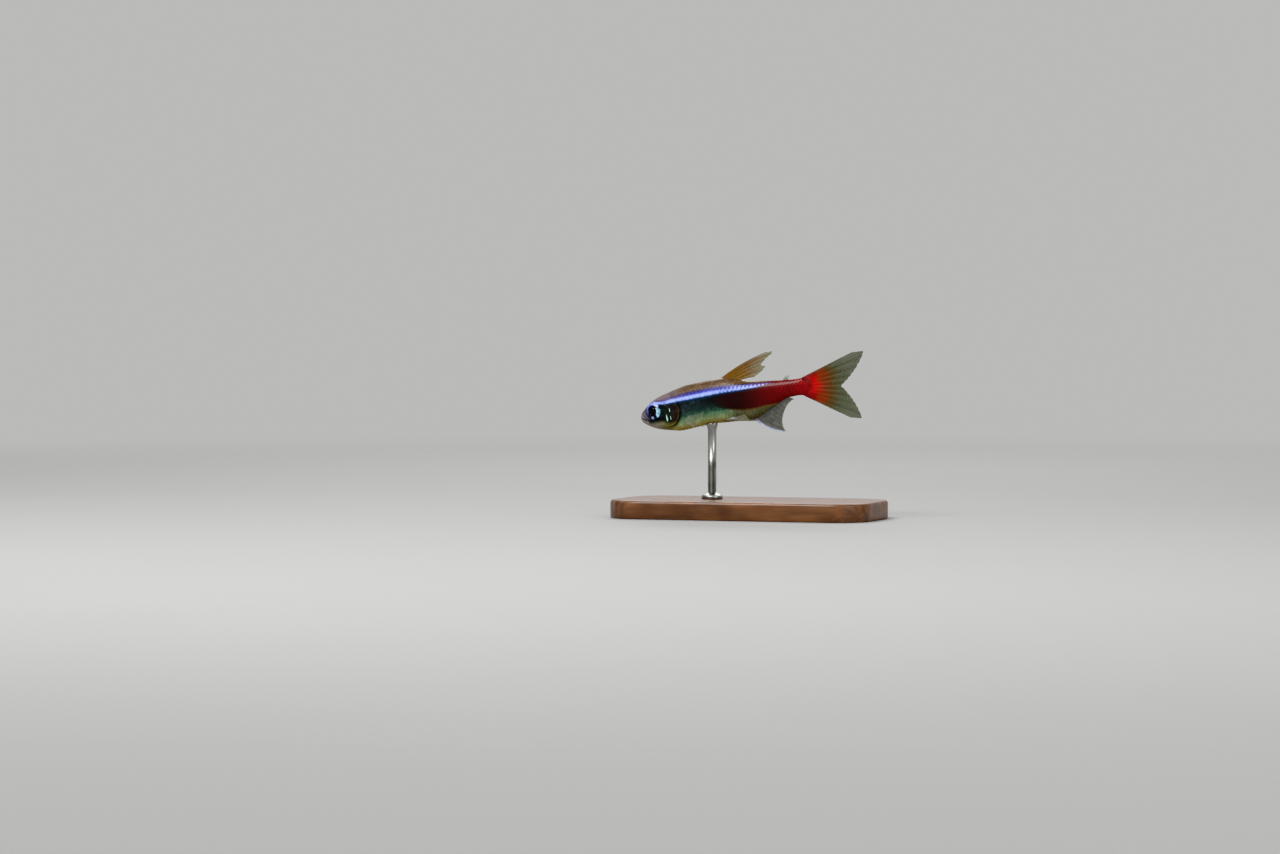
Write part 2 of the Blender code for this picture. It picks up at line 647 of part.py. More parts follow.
def shade(obj):
    """Smooth, with crisp edges, so that the low ridges on the fins still show."""
    obj.data.shade_smooth()
    obj.data.set_sharp_from_angle(angle=math.radians(10 if "fin" in obj.name else 40))


def main():
    for obj in list(bpy.data.objects):
        bpy.data.objects.remove(obj)
    finishes = {
        "head": ((0.10, 0.20, 0.30), 0.35, 0.2, 1.0),
        "trunk": ((0.12, 0.25, 0.45), 0.30, 0.3, 1.0),
        "tail_stem": ((0.70, 0.02, 0.03), 0.35, 0.1, 1.0),
        "eye": ((0.03, 0.08, 0.20), 0.08, 0.0, 1.0),
        "dorsal_fin": ((0.55, 0.30, 0.10), 0.35, 0.0, 0.8),
        "adipose_fin": ((0.75, 0.80, 0.78), 0.35, 0.0, 0.9),
        "caudal_fin": ((0.60, 0.16, 0.06), 0.35, 0.0, 0.8),
        "anal_fin": ((0.62, 0.62, 0.66), 0.35, 0.0, 0.8),
        "pectoral_fin": ((0.75, 0.78, 0.72), 0.35, 0.0, 0.6),
        "pelvic_fin": ((0.66, 0.68, 0.62), 0.35, 0.0, 0.7),
        "stand_base": ((0.10, 0.045, 0.02), 0.40, 0.0, 1.0),
        "stand_rod": ((0.62, 0.62, 0.60), 0.28, 1.0, 1.0),
    }
    fish = [make_head(), make_eye(-1), make_eye(1), make_trunk(), make_tail_stem(), *make_fins()]
    stand = [to_metres(make_base(), False), make_rod()]
    parts = [*(to_metres(part, True) for part in fish), *stand]
    materials = {name: colour_of(name, *finish) for name, finish in finishes.items()}
    for part in parts:
        kind = part.name.replace("_left", "").replace("_right", "")
        part.data.materials.clear()
        part.data.materials.append(materials[kind])
        shade(part)


main()
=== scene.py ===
import math

import bmesh
import bpy
import numpy as np
from mathutils import Matrix, Vector


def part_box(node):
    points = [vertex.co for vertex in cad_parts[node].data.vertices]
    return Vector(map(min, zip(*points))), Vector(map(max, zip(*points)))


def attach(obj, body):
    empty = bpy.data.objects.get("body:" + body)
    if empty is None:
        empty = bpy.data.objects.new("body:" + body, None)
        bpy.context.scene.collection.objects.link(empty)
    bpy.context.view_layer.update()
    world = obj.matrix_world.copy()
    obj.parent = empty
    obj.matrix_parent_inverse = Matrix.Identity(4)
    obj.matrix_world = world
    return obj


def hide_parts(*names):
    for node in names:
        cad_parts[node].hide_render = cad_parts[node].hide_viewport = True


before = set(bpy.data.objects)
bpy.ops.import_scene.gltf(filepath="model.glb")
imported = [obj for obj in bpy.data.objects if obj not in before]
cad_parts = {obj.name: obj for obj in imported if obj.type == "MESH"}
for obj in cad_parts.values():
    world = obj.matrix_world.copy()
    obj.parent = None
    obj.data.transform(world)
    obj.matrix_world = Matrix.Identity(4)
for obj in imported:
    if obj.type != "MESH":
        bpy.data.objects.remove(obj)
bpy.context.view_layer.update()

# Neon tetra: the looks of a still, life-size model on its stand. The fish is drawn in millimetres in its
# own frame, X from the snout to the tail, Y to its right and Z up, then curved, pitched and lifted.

# Stand base. A flat slab of dark walnut with round corners and eased edges, hand rubbed to a satin
# varnish. The rod is let into it.

MM = 0.001
BASE_CORNER, BASE_TOP_EASE, BASE_FOOT_EASE = 5.0, 0.45, 0.2
CORNER_STEPS = 17  # points on each round corner
WALNUT_DARK, WALNUT_MID, WALNUT_PALE = (52, 31, 20), (92, 58, 37), (126, 84, 54)


def paint(colour):
    """A display colour of 0 to 255 as the linear colour that a shader takes. Any other is left alone."""
    if isinstance(colour, Tone) or len(colour) == 4:
        return colour
    return (*(c / 255 / 12.92 if c <= 10 else ((c / 255 + 0.055) / 1.055) ** 2.4 for c in colour), 1.0)


class Tone:
    """One value on its way through a finish. Python's operators add Math nodes to it."""

    def __init__(self, tree, socket=None):
        self.tree, self.socket = tree, socket

    def node(self, kind, sockets=(), output=0, stops=None, line=None, **settings):
        """Adds a node: its settings first, then a ramp's stops or a curve's line, then its sockets."""
        made = self.tree.nodes.new(kind)
        for name, value in settings.items():
            setattr(made, name, value)
        if stops:
            ramp = made.color_ramp
            while len(ramp.elements) < len(stops):
                ramp.elements.new(1.0)
            for element, (place, colour) in zip(ramp.elements, stops, strict=True):
                element.position = place
                element.color = paint(colour)
        if line:
            points = made.mapping.curves[0].points
            while len(points) < len(line):
                points.new(0.5, 0.5)
            for point, (across, up) in zip(points, line, strict=True):
                point.location = (across, up)
            made.mapping.update()
        for name, value in dict(sockets).items():
            if isinstance(value, Tone):
                self.tree.links.new(value.socket, made.inputs[name])
            else:
                made.inputs[name].default_value = value
        return Tone(self.tree, made.outputs[output])

    def maths(self, operation, *others):
        """This value through a Math node, which takes the others after it."""
        return self.node("ShaderNodeMath", enumerate((self, *others)), operation=operation)

    def __add__(self, other):
        return self.maths("ADD", other)

    def __sub__(self, other):
        return self.maths("SUBTRACT", other)

    def __rsub__(self, other):
        return self.node("ShaderNodeMath", {0: other, 1: self}, operation="SUBTRACT")

    def __mul__(self, other):
        return self.maths("MULTIPLY", other)

    def __truediv__(self, other):
        return self.maths("DIVIDE", other)

    def __pow__(self, other):
        return self.maths("POWER", other)

    __radd__, __rmul__ = __add__, __mul__

    def size(self):
        return self.maths("ABSOLUTE")

    def times(self, scale):
        """This vector, scaled."""
        return self.node("ShaderNodeVectorMath", {0: self, "Scale": scale}, operation="SCALE")

    def plus(self, other):
        """This vector and another, added."""
        return self.node("ShaderNodeVectorMath", {0: self, 1: other}, operation="ADD")

    def rise(self, low, high):
        """0 below low, 1 above high and smooth between them, or the other way round."""
        ends = {"Value": self, "From Min": low, "From Max": high}
        return self.node("ShaderNodeMapRange", ends, interpolation_type="SMOOTHSTEP")

    def mix(self, first, second):
        """A colour between the two, this far from the first to the second."""
        sockets = {0: self, 6: paint(first), 7: paint(second)}
        return self.node("ShaderNodeMix", sockets, output=2, data_type="RGBA")

    def grain(self, scale, detail=3.0, **more):
        """Noise from 0 to 1 at these coordinates."""
        sockets = {"Vector": self, "Scale": scale, "Detail": detail, **more}
        return self.node("ShaderNodeTexNoise", sockets)

    def stretched(self, scale, turn=(0.0, 0.0, 0.0)):
        return self.node("ShaderNodeMapping", {"Vector": self, "Scale": scale, "Rotation": turn})


class Finish(Tone):
    """A Principled material, built up from its object coordinates in millimetres."""

    def __init__(self, name, **constants):
        self.material = bpy.data.materials.new(name)
        self.material.use_nodes = True
        self.shader = self.material.node_tree.nodes["Principled BSDF"]
        super().__init__(self.material.node_tree)
        for label, value in constants.items():
            self.shader.inputs[label.replace("_", " ")].default_value = value
        self.place = self.node("ShaderNodeTexCoord", output="Object").times(1 / MM)

    def wear(self, **links):
        """Feeds the shader's sockets that vary over the surface."""
        for label, tone in links.items():
            self.tree.links.new(tone.socket, self.shader.inputs[label.replace("_", " ")])
        return self.material

    def relief(self, height, depth, strength=1.0):
        """A bump of this height map, at its real depth in millimetres."""
        sockets = {"Height": height, "Distance": depth * MM, "Strength": strength}
        return self.node("ShaderNodeBump", sockets)


def distance(*legs):
    """The root of the legs' squares, added up."""
    return sum((leg * leg for leg in legs[1:]), legs[0] * legs[0]) ** 0.5


def placed(name, data):
    made = bpy.data.objects.new(name, data)
    bpy.context.scene.collection.objects.link(made)
    return made


def dressed(made, slot, replaced=()):
    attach(made, "root")
    if replaced:
        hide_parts(*replaced)
    return made


def piece(name, points, faces, finish, slot, replaced=()):
    """A finished mesh in metres from points in millimetres, riding on the fish's one body."""
    mesh = bpy.data.meshes.new(name)
    mesh.from_pydata(np.asarray(points, float) * MM, [], faces)
    shape = bmesh.new()
    shape.from_mesh(mesh)
    bmesh.ops.recalc_face_normals(shape, faces=shape.faces)
    shape.to_mesh(mesh)
    shape.free()
    mesh.shade_smooth()
    mesh.materials.append(finish)
    return dressed(placed(name, mesh), slot, replaced)


def loft_faces(count, sides, poles=True, closed=False):
    """Faces of a tube of rings. It has a fan to an extra point at each end, or joins up with itself."""
    faces = []
    for k in range(sides):
        after = (k + 1) % sides
        for row in range(count if closed else count - 1):
            a, b = row * sides, (row + 1) % count * sides
            faces.append((a + k, b + k, b + after, a + after))
        if poles:
            faces.append((count * sides, k, after))
            faces.append((count * sides + 1, (count - 1) * sides + after, (count - 1) * sides + k))
    return faces


def capped(rings):
    """The points of a tube's rings, and a middle point for each end."""
    rings = np.asarray(rings, float)
    return np.vstack((rings.reshape(-1, 3), rings[0].mean(axis=0), rings[-1].mean(axis=0)))


def quarter_round(radius, steps):
    """How far in and how far up each point of a rounded edge lies from the edge's foot."""
    return [(radius * (1 - math.cos(a)), radius * math.sin(a)) for a in np.linspace(0, math.pi / 2, steps)]


def slab_ring(half_length, half_width, inset, z):
    """The base's outline, drawn in by the inset, at height z and anticlockwise from above."""
    ring = []
    for quarter, (sign_x, sign_y) in enumerate(((1, 1), (-1, 1), (-1, -1), (1, -1))):
        for a in np.linspace(0, math.pi / 2, CORNER_STEPS) + quarter * math.pi / 2:
            x = sign_x * (half_length - BASE_CORNER) + (BASE_CORNER - inset) * math.cos(a)
            y = sign_y * (half_width - BASE_CORNER) + (BASE_CORNER - inset) * math.sin(a)
            ring.append((x, y, z))
    return ring


def walnut():
    f = Finish("walnut", Coat_Weight=0.35, Coat_Roughness=0.22)
    warp = f.place.grain(0.09, 2.0)
    drawn = f.place.stretched((0.05, 0.55, 0.35), (0.0, 0.04, 0.06))
    rings = (drawn.grain(1.0, 4.0, Distortion=0.6) + warp * 0.8) * 3.0
    band = (rings.maths("FRACT") - 0.5).size().rise(0.0, 0.5)
    pores = f.place.stretched((0.7, 9.0, 9.0)).grain(1.0, 2.0).rise(0.60, 0.72)
    wood = band.mix(WALNUT_MID, WALNUT_PALE)
    wood = (drawn.grain(2.2, 5.0).rise(0.35, 0.75) * 0.6).mix(wood, WALNUT_DARK)
    wood = (pores * 0.55).mix(wood, WALNUT_DARK)
    return f.wear(
        Base_Color=wood,
        Roughness=0.38 + pores * 0.2 + band * 0.06,
        Normal=f.relief(1 - pores, 0.03, 0.5),
    )


base_high = Vector(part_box("stand_base")[1]) / MM
edges = [(BASE_FOOT_EASE - out, up) for up, out in quarter_round(BASE_FOOT_EASE, 4)]
edges += [(inset, base_high.z - BASE_TOP_EASE + up) for inset, up in quarter_round(BASE_TOP_EASE, 7)]
slab = [slab_ring(base_high.x, base_high.y, inset, height) for inset, height in edges]
piece("base_slab", capped(slab), loft_faces(len(slab), len(slab[0])), walnut(), "base_wood", ("stand_base",))

# Stand rod. A turned pin of satin steel with a collar that sits on the base, and a small cup at its top
# that takes the belly.

ROD_RADIUS, ROD_SIDES = 0.6, 56
COLLAR_RADIUS, COLLAR_HEIGHT, COLLAR_FOOT_EASE, COLLAR_TOP_EASE, COLLAR_FILLET = 1.5, 0.6, 0.08, 0.24, 0.3
CUP_RADIUS, CUP_HEIGHT, CUP_SEAT = 0.82, 0.9, 0.12
CUP_LIP = ((0.03, -0.02), (0.12, 0.0), (0.3, -0.1))  # how far inside the cup's radius, and over its top
STEEL, STEEL_DARK = (176, 176, 172), (128, 129, 128)


def turned(profile, sides, middle=(0.0, 0.0, 0.0), axis="Z"):
    """Rings of points turned round a line through middle, from (radius, distance along) points."""
    angle = 2 * math.pi * np.arange(sides) / sides
    rings = []
    for radius, along in profile:
        ring = np.column_stack((radius * np.cos(angle), radius * np.sin(angle), np.full(sides, along)))
        rings.append((ring if axis == "Z" else ring[:, (0, 2, 1)]) + np.array(middle))
    return rings


def satin_steel():
    f = Finish("satin_steel", Metallic=1.0)
    brushed = f.place.stretched((1.0, 1.0, 14.0)).grain(2.2, 3.0)
    smudge = f.place.grain(0.5, 2.0)
    return f.wear(
        Base_Color=smudge.rise(0.35, 0.7).mix(STEEL, STEEL_DARK),
        Roughness=0.24 + brushed * 0.14,
        Normal=f.relief(brushed, 0.01, 0.25),
    )


rod_low, rod_high = (Vector(corner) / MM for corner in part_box("stand_rod"))
rod_x = (rod_low.x + rod_high.x) / 2
deck, cup_top = base_high.z, rod_high.z + CUP_SEAT
collar_shoulder, fillet_top = deck + COLLAR_HEIGHT - COLLAR_TOP_EASE, deck + COLLAR_HEIGHT + COLLAR_FILLET
cup_foot, flare = cup_top - CUP_HEIGHT, CUP_RADIUS - ROD_RADIUS
profile = [(0.1, rod_low.z), (ROD_RADIUS, rod_low.z), (ROD_RADIUS, deck)]
profile += [(COLLAR_RADIUS - COLLAR_FOOT_EASE, deck), (COLLAR_RADIUS, deck + COLLAR_FOOT_EASE)]
profile += [(COLLAR_RADIUS - i, collar_shoulder + u) for i, u in quarter_round(COLLAR_TOP_EASE, 5)]
profile += [(ROD_RADIUS + COLLAR_FILLET - i, fillet_top - u) for u, i in quarter_round(COLLAR_FILLET, 6)]
profile += [(ROD_RADIUS + flare * s**0.7, cup_foot + CUP_HEIGHT * s) for s in (0.0, 0.3, 0.6, 0.9)]
profile += [(CUP_RADIUS - inset, cup_top + up) for inset, up in CUP_LIP]
rod = turned(profile, ROD_SIDES, (rod_x, 0.0, 0.0))
piece("rod_pin", capped(rod), loft_faces(len(rod), ROD_SIDES), satin_steel(), "rod_steel", ("stand_rod",))

# Skin. One smooth skin over head, trunk and tail stem, drawn a scale's thickness inside the solids.
# The head's bare bones show through it: lips, jaw bone, cheek plates, gill cover and nostrils.

PITCH_DEG = 10.0  # head down
PITCH_TURN = np.array(Matrix.Rotation(-math.radians(PITCH_DEG), 3, "Y"))
SNOUT_AT = (-16.4, 0.0, 14.2)
SPINE_MIDDLE, SPINE_CURVE = 12.0, 0.004
BODY_STATIONS = (  # from snout, back, belly, half width, widest height, squareness above and below
    (0.0, -0.30, -0.30, 0.0, -0.30, 2.2, 2.0),  # lips
    (0.12, 0.26, -0.82, 0.32, -0.30, 2.2, 2.0),
    (0.7, 0.80, -1.36, 0.70, -0.22, 2.3, 2.0),  # nostrils
    (1.5, 1.44, -1.86, 1.04, 0.00, 2.4, 2.0),
    (2.5, 1.98, -2.30, 1.32, 0.15, 2.4, 2.0),  # middle of the eye
    (4.0, 2.48, -2.70, 1.52, 0.30, 2.3, 2.0),
    (6.2, 2.93, -3.06, 1.66, 0.40, 2.1, 1.9),  # gill covers end
    (8.2, 3.26, -2.96, 1.74, 0.50, 2.0, 1.8),
    (10.3, 3.32, -2.84, 1.75, 0.55, 2.0, 1.75),  # sunken belly
    (13.2, 3.28, -3.04, 1.66, 0.55, 2.0, 1.75),  # dorsal fin starts
    (16.8, 2.26, -3.18, 1.32, 0.48, 2.0, 1.8),  # anal fin starts
    (19.6, 1.84, -2.14, 0.98, 0.40, 2.0, 2.0),
    (22.4, 1.47, -1.06, 0.70, 0.32, 2.0, 2.0),  # anal fin ends
    (23.8, 1.36, -1.02, 0.58, 0.26, 2.0, 2.0),  # thinnest part of the tail stem
    (24.9, 1.36, -1.18, 0.44, 0.18, 2.0, 2.0),
    (25.6, 1.30, -1.20, 0.30, 0.06, 2.0, 2.0),
)
COAT_DEPTH = 0.05  # scales over the skin
SKIN_END, SKIN_SIDES, HEAD_ROWS, BODY_ROWS = 25.42, 224, 190, 118
STEM_END_THIN, STEM_END_ROUND = 0.42, 0.42
EYE_CENTRE, EYE_TURN_DEG, EYE_RADIUS, EYE_DEPTH = (2.5, 0.99, 0.27), 12.0, 1.27, 0.62
ORBIT_RADIUS, ORBIT_FLOOR, ORBIT_SQUEEZE, ORBIT_SINK = 1.33, 1.17, 0.985, 0.75
GILL_CENTRE, GILL_RADIUS = (4.6, -0.2), 2.05
GILL_FLAP, GILL_UNDERCUT, GILL_RIM = 0.15, 0.10, 0.025
CHEEK_CENTRE, CHEEK_RADIUS = (3.45, -0.35), 1.72
CHEEK_GROOVE, CHEEK_FOLD = 0.07, 0.04
PLATE_REACH, PLATE_EDGE, PLATE_SEAM = 1.95, 0.025, 0.02  # the plates round the eye
PLATE_BEARINGS = (-118, -72, -28, 12, 44)
MOUTH_CORNER, MOUTH_FRONT = (1.15, -0.90), (-0.4, -0.03)
MOUTH_DEPTH, LIP_HEIGHT = 0.22, 0.05
JAW_BONE = ((0.72, 0.30), (0.98, -0.36), (1.66, -0.92))  # maxilla, from the snout down past the mouth
JAW_BONE_HEIGHT, JAW_BONE_GROOVE = 0.06, 0.03
NOSTRILS = ((0.82, 0.56, 0.60), (1.02, 0.61, 0.78))
NOSTRIL_WALL, NOSTRIL_DEPTH = 0.03, 0.12
THROAT_CENTRE, THROAT_RADIUS, THROAT_RAY, THROAT_RAY_PITCH = (3.1, -0.75), 1.45, 0.012, 0.22


def through(stations, x):
    """Values at x on monotone cubics through the stations' columns, run on the root of the distance."""
    table = np.array(stations, float)
    places, columns = np.sqrt(table[:, 0]), table[:, 1:]
    steps = np.diff(places)[:, None]
    slopes = np.diff(columns, axis=0) / steps
    tangents = np.zeros_like(columns)
    weight = 2 * steps[1:] + steps[:-1], steps[1:] + 2 * steps[:-1]
    with np.errstate(divide="ignore", invalid="ignore"):
        mean = (weight[0] + weight[1]) / (weight[0] / slopes[:-1] + weight[1] / slopes[1:])
    tangents[1:-1] = np.where(slopes[:-1] * slopes[1:] > 0, mean, 0.0)
    tangents[0], tangents[-1] = slopes[0], slopes[-1]
    s = np.clip(np.sqrt(np.maximum(x, 0.0)), places[0], places[-1])
    k = np.minimum(np.searchsorted(places, s, side="right") - 1, len(steps) - 1)
    h = steps[k, 0][..., None]
    t = (s - places[k])[..., None] / h
    return (
        (2 * t**3 - 3 * t**2 + 1) * columns[k]
        + (t**3 - 2 * t**2 + t) * h * tangents[k]
        + (3 * t**2 - 2 * t**3) * columns[k + 1]
        + (t**3 - t**2) * h * tangents[k + 1]
    )


def sections(x):
    """The columns of the body's stations at distances x."""
    return np.moveaxis(through(BODY_STATIONS, x), -1, 0)


def body_surface(x, turn):
    """Points of the plain body at distances x, turned this far round the section from its right side."""
    x, turn = np.broadcast_arrays(np.asarray(x, float), np.asarray(turn, float))
    back, belly, half_width, widest, square_above, square_below = sections(x)
    across, up = np.cos(turn), np.sin(turn)
    power = np.where(up >= 0, 2 / square_above, 2 / square_below)
    height = np.where(up >= 0, back - widest, widest - belly)
    y = half_width * np.sign(across) * np.abs(across) ** power
    z = widest + height * np.sign(up) * np.abs(up) ** power
    return np.stack((x, y, z), axis=-1)


def outward(rings):
    """Unit normals of a grid of rings, pointing away from the body."""
    along = np.gradient(rings, axis=0)
    around = np.roll(rings, -1, axis=1) - np.roll(rings, 1, axis=1)
    normals = np.cross(around, along)
    return normals / np.maximum(np.linalg.norm(normals, axis=2, keepdims=True), 1e-9)


def step(value, low, high):
    """0 below low, 1 above high and smooth between them, or the other way round."""
    t = np.clip((value - low) / (high - low), 0.0, 1.0)
    return t * t * (3 - 2 * t)


def bump(away, width):
    return np.exp(-((away / width) ** 2))


def to_stand(points):
    """From the fish's own frame to the stand's, both in millimetres."""
    points = np.array(points, float)
    points[..., 1] += SPINE_CURVE * (points[..., 0] - SPINE_MIDDLE) ** 2
    return points @ PITCH_TURN.T + np.array(SNOUT_AT)


def eye_frame(side):
    """Turns and moves a shape from the eye's own frame, its axis along Y, to the fish's."""
    turn = Matrix.Rotation(side * math.radians(EYE_TURN_DEG), 4, "Z")
    return Matrix.Translation((EYE_CENTRE[0], side * EYE_CENTRE[1], EYE_CENTRE[2])) @ turn


def from_segment(x, z, start, end):
    """Distance in the side view to a straight line between two points, and how far along it."""
    start, way = np.array(start), np.subtract(end, start)
    share = np.clip(((x - start[0]) * way[0] + (z - start[1]) * way[1]) / (way @ way), 0.0, 1.0)
    return np.hypot(x - start[0] - way[0] * share, z - start[1] - way[1] * share), share


def head_relief(points):
    """How far the skin stands out over the plain body, in millimetres."""
    x, y, z = points[..., 0], np.abs(points[..., 1]), points[..., 2]
    side = step(y, 0.30, 0.85)
    ahead_of_gill = GILL_RADIUS - np.hypot(x - GILL_CENTRE[0], z - GILL_CENTRE[1])
    behind_cheek = np.hypot(x - CHEEK_CENTRE[0], z - CHEEK_CENTRE[1]) - CHEEK_RADIUS
    # gill cover: a thin flap that ends in a clean step over the shoulder
    flap = GILL_FLAP * step(ahead_of_gill, -0.02, 0.07) * step(behind_cheek, -1.9, 0.3) * step(x, 2.6, 4.2)
    brim = GILL_RIM * bump(ahead_of_gill - 0.12, 0.06) - GILL_UNDERCUT * bump(ahead_of_gill + 0.07, 0.07)
    # cheek: a groove and a fold before the gill cover, and the seams of the plates round the eye
    cheek = CHEEK_FOLD * bump(behind_cheek - 0.16, 0.10) - CHEEK_GROOVE * bump(behind_cheek, 0.07)
    cheek = cheek * step(ahead_of_gill, 0.0, 0.4) * step(x, 2.4, 3.4)
    from_eye = np.hypot(x - EYE_CENTRE[0], z - EYE_CENTRE[2])
    around_eye = np.degrees(np.arctan2(z - EYE_CENTRE[2], x - EYE_CENTRE[0]))
    plates = bump(from_eye - PLATE_REACH, 0.05) * step(around_eye, 60, 20) * step(around_eye, -140, -110)
    seams = sum(bump((around_eye - bearing) * 0.03, 0.05) for bearing in PLATE_BEARINGS)
    seams = seams * step(from_eye, 1.4, 1.5) * step(from_eye, 2.0, 1.9)
    # mouth: a fine slit between full lips, and the long jaw bone behind it
    from_slit, along_slit = from_segment(x, z, MOUTH_FRONT, MOUTH_CORNER)
    slit = MOUTH_DEPTH * bump(from_slit, 0.045) * step(along_slit, 1.0, 0.86)
    lips = LIP_HEIGHT * bump(from_slit - 0.13, 0.08) * step(along_slit, 1.0, 0.7)
    from_bone = np.minimum(*(from_segment(x, z, *JAW_BONE[k:k + 2])[0] for k in (0, 1)))
    bone = JAW_BONE_HEIGHT * step(from_bone, 0.15, 0.08) - JAW_BONE_GROOVE * bump(from_bone - 0.2, 0.04)
    # nostrils: two pits with a low wall between them
    pits = 0.0
    for place in NOSTRILS:
        away = np.sqrt((x - place[0]) ** 2 + (y - place[1]) ** 2 + (z - place[2]) ** 2)
        pits = pits + NOSTRIL_WALL * bump(away - 0.13, 0.04) - NOSTRIL_DEPTH * bump(away, 0.08)
    # throat: the fine rays that spread the gill skin, below the cover
    from_throat = np.hypot(x - THROAT_CENTRE[0], z - THROAT_CENTRE[1]) - THROAT_RADIUS
    throat = THROAT_RAY * np.cos(from_throat * 2 * math.pi / THROAT_RAY_PITCH)
    throat = throat * step(ahead_of_gill, 0.05, -0.03) * step(z, -1.3, -1.9)
    throat = throat * step(x, 2.6, 3.6) * step(x, 5.6, 4.9)
    # orbit: sunk under the eyeball
    from_orbit = np.hypot((x - EYE_CENTRE[0]) / ORBIT_SQUEEZE, z - EYE_CENTRE[2])
    orbit = ORBIT_SINK * step(from_orbit, ORBIT_RADIUS, ORBIT_FLOOR) * step(y, 0.2, 0.5)
    details = (flap + brim * step(x, 4.4, 5.2) + cheek) * step(z, 1.75, 0.85)
    details = details - PLATE_EDGE * plates - PLATE_SEAM * seams
    return side * details - slit + lips + bone * step(y, 0.12, 0.3) + pits + throat - orbit


def tail_root(points):
    """Draws the blunt end of the tail stem thin and round, so that it runs out over the tail fin's rays."""
    points = np.array(points)
    x, z = points[..., 0].copy(), points[..., 2]
    late = step(x, 24.0, SKIN_END)
    points[..., 1] *= 1 - STEM_END_THIN * late
    points[..., 0] -= STEM_END_ROUND * late * ((z - 0.07) / 1.2) ** 2
    return points


skin_rows = np.concatenate((
    np.linspace(0.14, math.sqrt(6.8), HEAD_ROWS) ** 2,
    np.linspace(6.9, 25.0, BODY_ROWS),
    (25.15, 25.27, 25.36, SKIN_END),
))
skin_turns = math.pi / 2 + 2 * math.pi * np.arange(SKIN_SIDES) / SKIN_SIDES
plain = tail_root(body_surface(skin_rows[:, None], skin_turns[None, :]))
plain_normals = outward(plain)
skin_rings = plain + plain_normals * (head_relief(plain) - COAT_DEPTH)[..., None]

BACK, BACK_DARK, BACK_PALE = (114, 88, 62), (58, 40, 25), (140, 110, 80)
NAPE, CROWN, SNOUT, LIP = (116, 102, 110), (76, 66, 60), (90, 82, 98), (150, 142, 144)
JAW, THROAT, SHADE_BLACK = (148, 144, 126), (122, 114, 68), (10, 7, 8)
STRIPE_EDGE, STRIPE_VIOLET, STRIPE = (50, 38, 78), (52, 50, 128), (100, 120, 228)
STRIPE_LIGHT, STRIPE_LOW, STRIPE_END = (182, 198, 255), (84, 116, 184), (88, 44, 78)
STRIPE_GLOW, DUST = (26, 46, 66), (92, 106, 114)
BELOW_STRIPE = (  # from the keel, 0, up to the stripe's lower edge, 1
    (0.0, (172, 156, 92)), (0.09, (182, 172, 112)), (0.20, (168, 186, 136)), (0.34, (116, 150, 116)),
    (0.46, (62, 92, 78)), (0.60, (36, 50, 46)), (0.80, (17, 23, 25)), (1.0, (11, 17, 24)),
)
BELLY_PALE, BEHIND_BELLY, BRONZE_HIGHLIGHT = (172, 196, 168), (104, 104, 82), (150, 122, 74)
MAROON, RED, RED_BRIGHT, RED_EDGE = (30, 3, 3), (114, 3, 7), (182, 6, 10), (96, 62, 20)
CHEEK, CHEEK_GREEN, TEAL_SHEEN, CHEEK_GLINT = (18, 20, 20), (38, 58, 46), (64, 112, 98), (206, 244, 232)
CHEEK_BROWN, BLACK = (54, 40, 38), (0, 0, 0)
CHEEK_GLINTS = ((4.50, -1.00, 0.74), (5.15, 0.05, 0.46), (5.10, -1.00, 0.42))  # place and reach
GLINT_SQUEEZE = 3.742  # a glint's height over its length
# the emission strength lights the stripe's painted glow
FLESH = {"Specular_IOR_Level": 0.3, "Coat_Weight": 0.2, "Emission_Strength": 0.35}

# each a list of (distance from the snout, height), or half width in place of height
STRIPE_MIDDLE = ((0.0, 0.3), (1.2, 1.12), (2.4, 1.55), (4.0, 1.40), (5.6, 1.50), (9.0, 1.60), (13.0, 1.65),
                 (16.5, 1.48), (20.5, 1.38), (26.0, 1.30))
STRIPE_HALF = ((0.0, 0.10), (2.2, 0.26), (4.0, 0.36), (5.6, 0.50), (10.0, 0.60), (13.5, 0.55), (16.6, 0.42),
               (18.6, 0.30), (19.9, 0.14), (21.0, 0.0), (26.0, 0.0))
RED_LOW = ((0.0, 0.4), (11.5, -0.3), (12.7, -0.95), (14.1, -1.35), (15.6, -1.72), (17.2, -1.84),
           (19.0, -1.70), (21.6, -1.62), (23.0, -1.6), (26.0, -1.6))
LINES_END, LINES_REACH = 30.0, 4.0  # greatest distance and greatest height, up or down, on these lines


def marking_line(tone, points):
    """A height that follows these points along the fish."""
    line = [(x / LINES_END, (z + LINES_REACH) / (2 * LINES_REACH)) for x, z in points]
    share = tone.node("ShaderNodeFloatCurve", {"Value": tone / LINES_END}, line=line)
    return share * (2 * LINES_REACH) - LINES_REACH


def fish_place(f):
    """Distance from the snout, height over the axis and distance from the middle plane, in millimetres."""
    x, y, z = (
        f.node("ShaderNodeSeparateXYZ", {"Vector": f.place}, output=k) - SNOUT_AT[k] for k in range(3)
    )
    turn = math.radians(PITCH_DEG)
    x, z = x * math.cos(turn) + z * math.sin(turn), z * math.cos(turn) - x * math.sin(turn)
    return x, z, (y - (x - SPINE_MIDDLE) * (x - SPINE_MIDDLE) * SPINE_CURVE).size()


